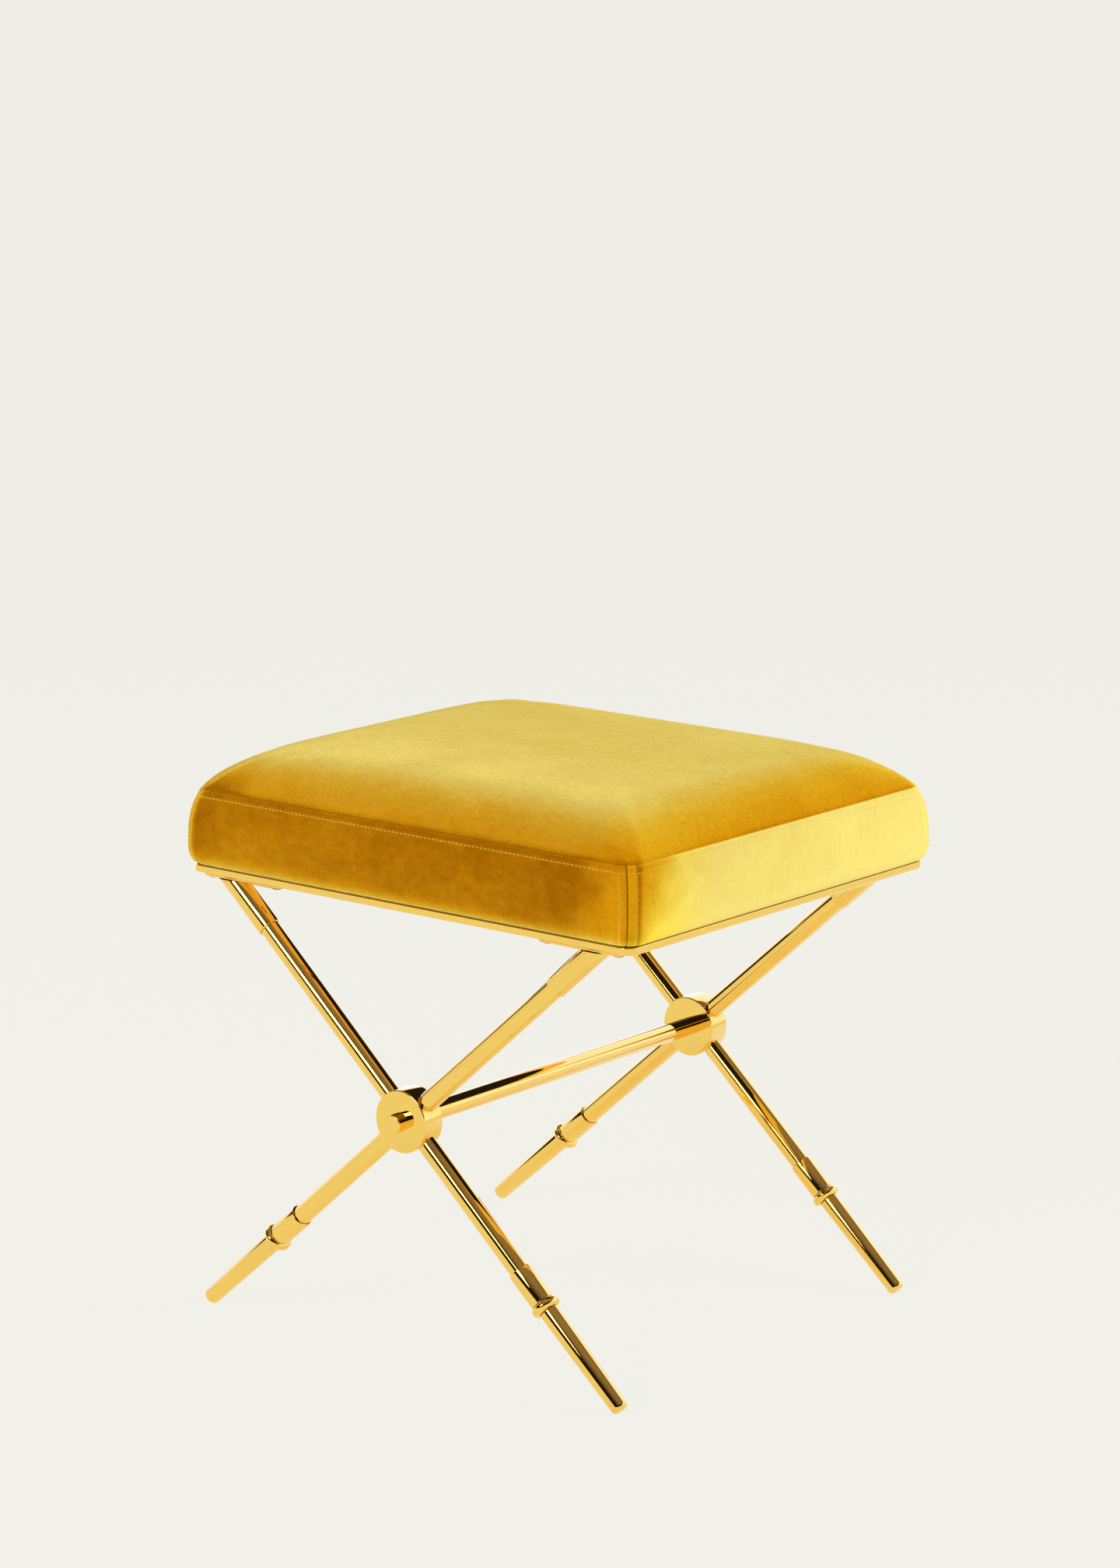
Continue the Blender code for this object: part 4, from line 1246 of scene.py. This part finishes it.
def thread_finish():
    """Twisted thread, a little shinier than the velvet."""
    material, tree, shader = new_finish("gold thread")
    marks = use_group(tree, cloth, Vector=on_piece(tree), Brush_Scale=60.0, Grain_Scale=3000.0)
    thread = mix_colour(tree, marks["Brushed"], THREAD_DARK, THREAD_LIGHT)
    feed(tree, shader, {"Base Color": mix_colour(tree, painted(tree, "pale"), thread, PAINTED_LIGHT_THREAD),
                        "Roughness": ramp(tree, marks["Grain"], 0.2, 0.8, 0.45, 0.7),
                        "Specular IOR Level": 0.05})
    return material


paint(thread_mesh, "pale", [painted_light_share(vertex.co) for vertex in thread_mesh.vertices])
stitches = add_piece("velvet_stitches", thread_mesh, thread_finish())
print("thread placed:", stitches.name)

# %% [markdown]
# ## Under the seat
#
# From below, the frame's window shows a thin black dust cover stretched over the board. It is a sheet
# with a shallow sag and a loose weave. The plywood board is inside, and only gets its finish.

# %% Dust cover
DUST_HALF = (0.213, 0.188)
DUST_HEIGHT = 0.3703
DUST_SAG = 0.0022
DUST_STEPS = (64, 56)
SAG_HALF = (0.178, 0.153)
RIPPLE_SCALE = 18
RIPPLE_DEPTH = (0.8, 0.3)
RIPPLE_SLICE = 0.3
DUST_DARK = (0.004, 0.004, 0.0045, 1)
DUST_LIGHT = (0.02, 0.02, 0.021, 1)


def dust_finish():
    """Thin black spun cloth."""
    material, tree, shader = new_finish("black dust cloth")
    marks = use_group(tree, cloth, Vector=on_piece(tree), Brush_Scale=20.0, Grain_Scale=1200.0)
    feed(tree, shader, {"Base Color": mix_colour(tree, marks["Grain"], DUST_DARK, DUST_LIGHT),
                        "Roughness": ramp(tree, marks["Brushed"], 0.0, 1.0, 0.75, 0.95),
                        "Normal": raised(tree, marks["Grain"], strength=0.3, distance=0.0005),
                        "Specular IOR Level": 0.08})
    return material


def dust_height(x, y):
    """Height of the dust cover, which sags over the frame's window."""
    room = max(1 - (x / SAG_HALF[0]) ** 2, 0) * max(1 - (y / SAG_HALF[1]) ** 2, 0)
    ripple = noise.noise(Vector((x * RIPPLE_SCALE, y * RIPPLE_SCALE, RIPPLE_SLICE)))
    return DUST_HEIGHT - DUST_SAG * room * (RIPPLE_DEPTH[0] + RIPPLE_DEPTH[1] * ripple)


bm = bmesh.new()
grid = []
for row in range(DUST_STEPS[1] + 1):
    y = DUST_HALF[1] * (2 * row / DUST_STEPS[1] - 1)
    across = [DUST_HALF[0] * (2 * column / DUST_STEPS[0] - 1) for column in range(DUST_STEPS[0] + 1)]
    grid.append([bm.verts.new((x, y, dust_height(x, y))) for x in across])
for first, second in zip(grid, grid[1:]):
    for index in range(DUST_STEPS[0]):
        bm.faces.new((first[index], second[index], second[index + 1], first[index + 1]))
dust_cover = add_piece("dust_cover_cloth", finished_mesh(bm, "dust_cover_cloth"), dust_finish(),
                       ["dust_cover"])
print("dust cover hung")

# %% Plywood board
PLY_STRETCH = (6, 160, 160)
PLY_DARK = (0.42, 0.27, 0.13, 1)
PLY_LIGHT = (0.66, 0.49, 0.29, 1)


def plywood_finish():
    """Birch plywood with long grain."""
    material, tree, shader = new_finish("plywood")
    lines = noise_value(tree, stretched(tree, on_piece(tree), PLY_STRETCH), scale=1.0, detail=4.0,
                        roughness=0.6, distortion=0.4)
    feed(tree, shader, {"Base Color": mix_colour(tree, lines, PLY_DARK, PLY_LIGHT),
                        "Roughness": ramp(tree, lines, 0.2, 0.8, 0.6, 0.8)})
    return material


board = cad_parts["seat_board"]
board.data.materials.clear()
board.data.materials.append(plywood_finish())
print("board finished")

# %% [markdown]
# ## Floor and light
#
# The floor is pale and lit from below, as on a light table, so that shadows stay thin. Polished tube
# shows its surroundings, so what the metal sees is set apart from what the camera sees: in reflections
# the floor's glow is painted darker and warmer under the bench, a painted shadow with the cushion's
# bounce, and bluer behind it, a painted pool of cool light, and a pale wall stands round a dark room,
# high behind and low in front, under a dim warm ceiling. The strip box gives the white streak along the
# tubes. The front, side and overhead boxes light the velvet, and are kept out of the reflections.

# %% Floor
FLOOR_RADIUS = 60
FLOOR_SIDES = 64
FLOOR_BASE = (0.03, 0.03, 0.028, 1)
FLOOR_GLOW = 0.965
FLOOR_PALE = (0.879, 0.879, 0.815, 1)
# Seen only in reflections: a painted shadow under the bench, warm with the cushion's bounce, and a painted
# pool of cool light behind it.
FLOOR_NEAR = (0.90, 0.94, 0.86, 1)
FLOOR_SHADOW_AND_BOUNCE = (0.91, 0.80, 0.52, 1)
FLOOR_COOL = (0.95, 1.05, 1.50, 1)
SHADE_REACH = (0.08, 0.33)
BEHIND_REACH = (0.1, 0.6)
ASIDE_REACH = (0.7, 1.0)


def floor_finish():
    """Pale floor, lit from below, and clear from underneath."""
    material, tree, shader = new_finish("pale floor")
    geometry = add_node(tree, "ShaderNodeNewGeometry")
    place = axes(tree, geometry["Position"])
    across = sums(tree, "MULTIPLY", place["X"], place["X"])
    along = sums(tree, "MULTIPLY", place["Y"], place["Y"])
    away = sums(tree, "SQRT", sums(tree, "ADD", across, along), 0.0)
    behind = sums(tree, "MULTIPLY", ramp(tree, place["Y"], *BEHIND_REACH),
                  ramp(tree, place["X"], *ASIDE_REACH, 1.0, 0.0))
    far = mix_colour(tree, behind, FLOOR_NEAR, FLOOR_COOL)
    mirrored_floor = mix_colour(tree, ramp(tree, away, *SHADE_REACH), FLOOR_SHADOW_AND_BOUNCE, far)
    seen = add_node(tree, "ShaderNodeLightPath")["Is Camera Ray"]
    feed(tree, shader, {"Base Color": FLOOR_BASE, "Roughness": 0.9, "Specular IOR Level": 0.0,
                        "Emission Color": mix_colour(tree, seen, mirrored_floor, FLOOR_PALE),
                        "Emission Strength": FLOOR_GLOW})
    clear = add_node(tree, "ShaderNodeBsdfTransparent")[0]
    sides = {0: geometry["Backfacing"], 1: shader.outputs[0], 2: clear}
    feed(tree, tree.nodes["Material Output"], {"Surface": add_node(tree, "ShaderNodeMixShader", sides)[0]})
    return material


bm = bmesh.new()
bmesh.ops.create_circle(bm, cap_ends=True, segments=FLOOR_SIDES, radius=FLOOR_RADIUS)
floor = bpy.data.objects.new("floor", finished_mesh(bm, "floor"))
floor.data.materials.append(floor_finish())
scene.collection.objects.link(floor)
if floor.data.polygons[0].normal.z < 0:
    floor.data.flip_normals()
print("floor laid")

# %% Lights
def soft_box(name, place, target, size, watts, mirrored=True):
    """Area light that faces a point, and may be kept out of the metal's reflections."""
    data = bpy.data.lights.new(name, "AREA")
    data.shape = "RECTANGLE"
    data.size, data.size_y = size
    data.energy = watts
    light = bpy.data.objects.new(name, data)
    light.location = place
    light.rotation_euler = (Vector(target) - Vector(place)).to_track_quat("-Z", "Y").to_euler()
    light.visible_camera = False
    light.visible_glossy = mirrored
    scene.collection.objects.link(light)


seat = (0, 0, 0.4)
soft_box("front box", (-0.15, -2.0, 1.55), (0, 0, 0.25), (2.6, 1.1), watts=41, mirrored=False)
soft_box("strip box", (-0.145, -2.0, 1.17), (-0.145, 0, 1.17), (0.9, 0.56), watts=11)
soft_box("left box", (-2.2, 0.3, 1.3), seat, (1.2, 0.8), watts=10)
soft_box("side box", (1.9, 1.3, 1.35), seat, (1.5, 1.5), watts=41, mirrored=False)
soft_box("overhead box", (-0.2, 0.5, 2.4), seat, (1.8, 1.8), watts=7, mirrored=False)
print("lights:", [light.name for light in bpy.data.lights])

# %% Room
PALE = (0.85, 0.85, 0.788, 1)
WALL = (0.95, 0.95, 0.90, 1)
BACK_WALL = (1.15, 1.28, 1.75, 1)
DARK = (0.012, 0.011, 0.010, 1)
GLOW = (0.28, 0.22, 0.20, 1)
FRONT_TO_BACK = (-0.1, 0.5)
WALL_HEIGHTS = (0.13, 0.66)
FRONT_REACH = (-0.6, -0.9)
FRONT_DIP = (0.0, 0.08)
WALL_EDGE = 0.02
CEILING_REACH = (0.45, 0.85)
WALL_FOOT = (0.02, 0.035)
FOOT_SHADE = (0.8, 1.0)

world = bpy.data.worlds.new("studio")
world.use_nodes = True
tree = world.node_tree
direction = axes(tree, add_node(tree, "ShaderNodeTexCoord")["Generated"])
paths = add_node(tree, "ShaderNodeLightPath")
wall_top = sums(tree, "SUBTRACT", ramp(tree, direction["Y"], *FRONT_TO_BACK, *WALL_HEIGHTS),
                ramp(tree, direction["Y"], *FRONT_REACH, *FRONT_DIP))
over_wall = sums(tree, "SUBTRACT", direction["Z"], wall_top)
overhead = sums(tree, "MULTIPLY", ramp(tree, direction["Z"], *CEILING_REACH), paths["Is Glossy Ray"])
ceiling = mix_colour(tree, overhead, DARK, GLOW)
lit_wall = mix_colour(tree, ramp(tree, direction["Y"], *FRONT_TO_BACK), WALL, BACK_WALL)
wall = mix_colour(tree, ramp(tree, direction["Z"], *WALL_FOOT, *FOOT_SHADE), DARK, lit_wall)
room = mix_colour(tree, ramp(tree, over_wall, -WALL_EDGE, WALL_EDGE), wall, ceiling)
feed(tree, tree.nodes["Background"], {"Color": mix_colour(tree, paths["Is Camera Ray"], room, PALE)})
scene.world = world
scene.view_settings.view_transform = "Standard"
print("room:", world.name)
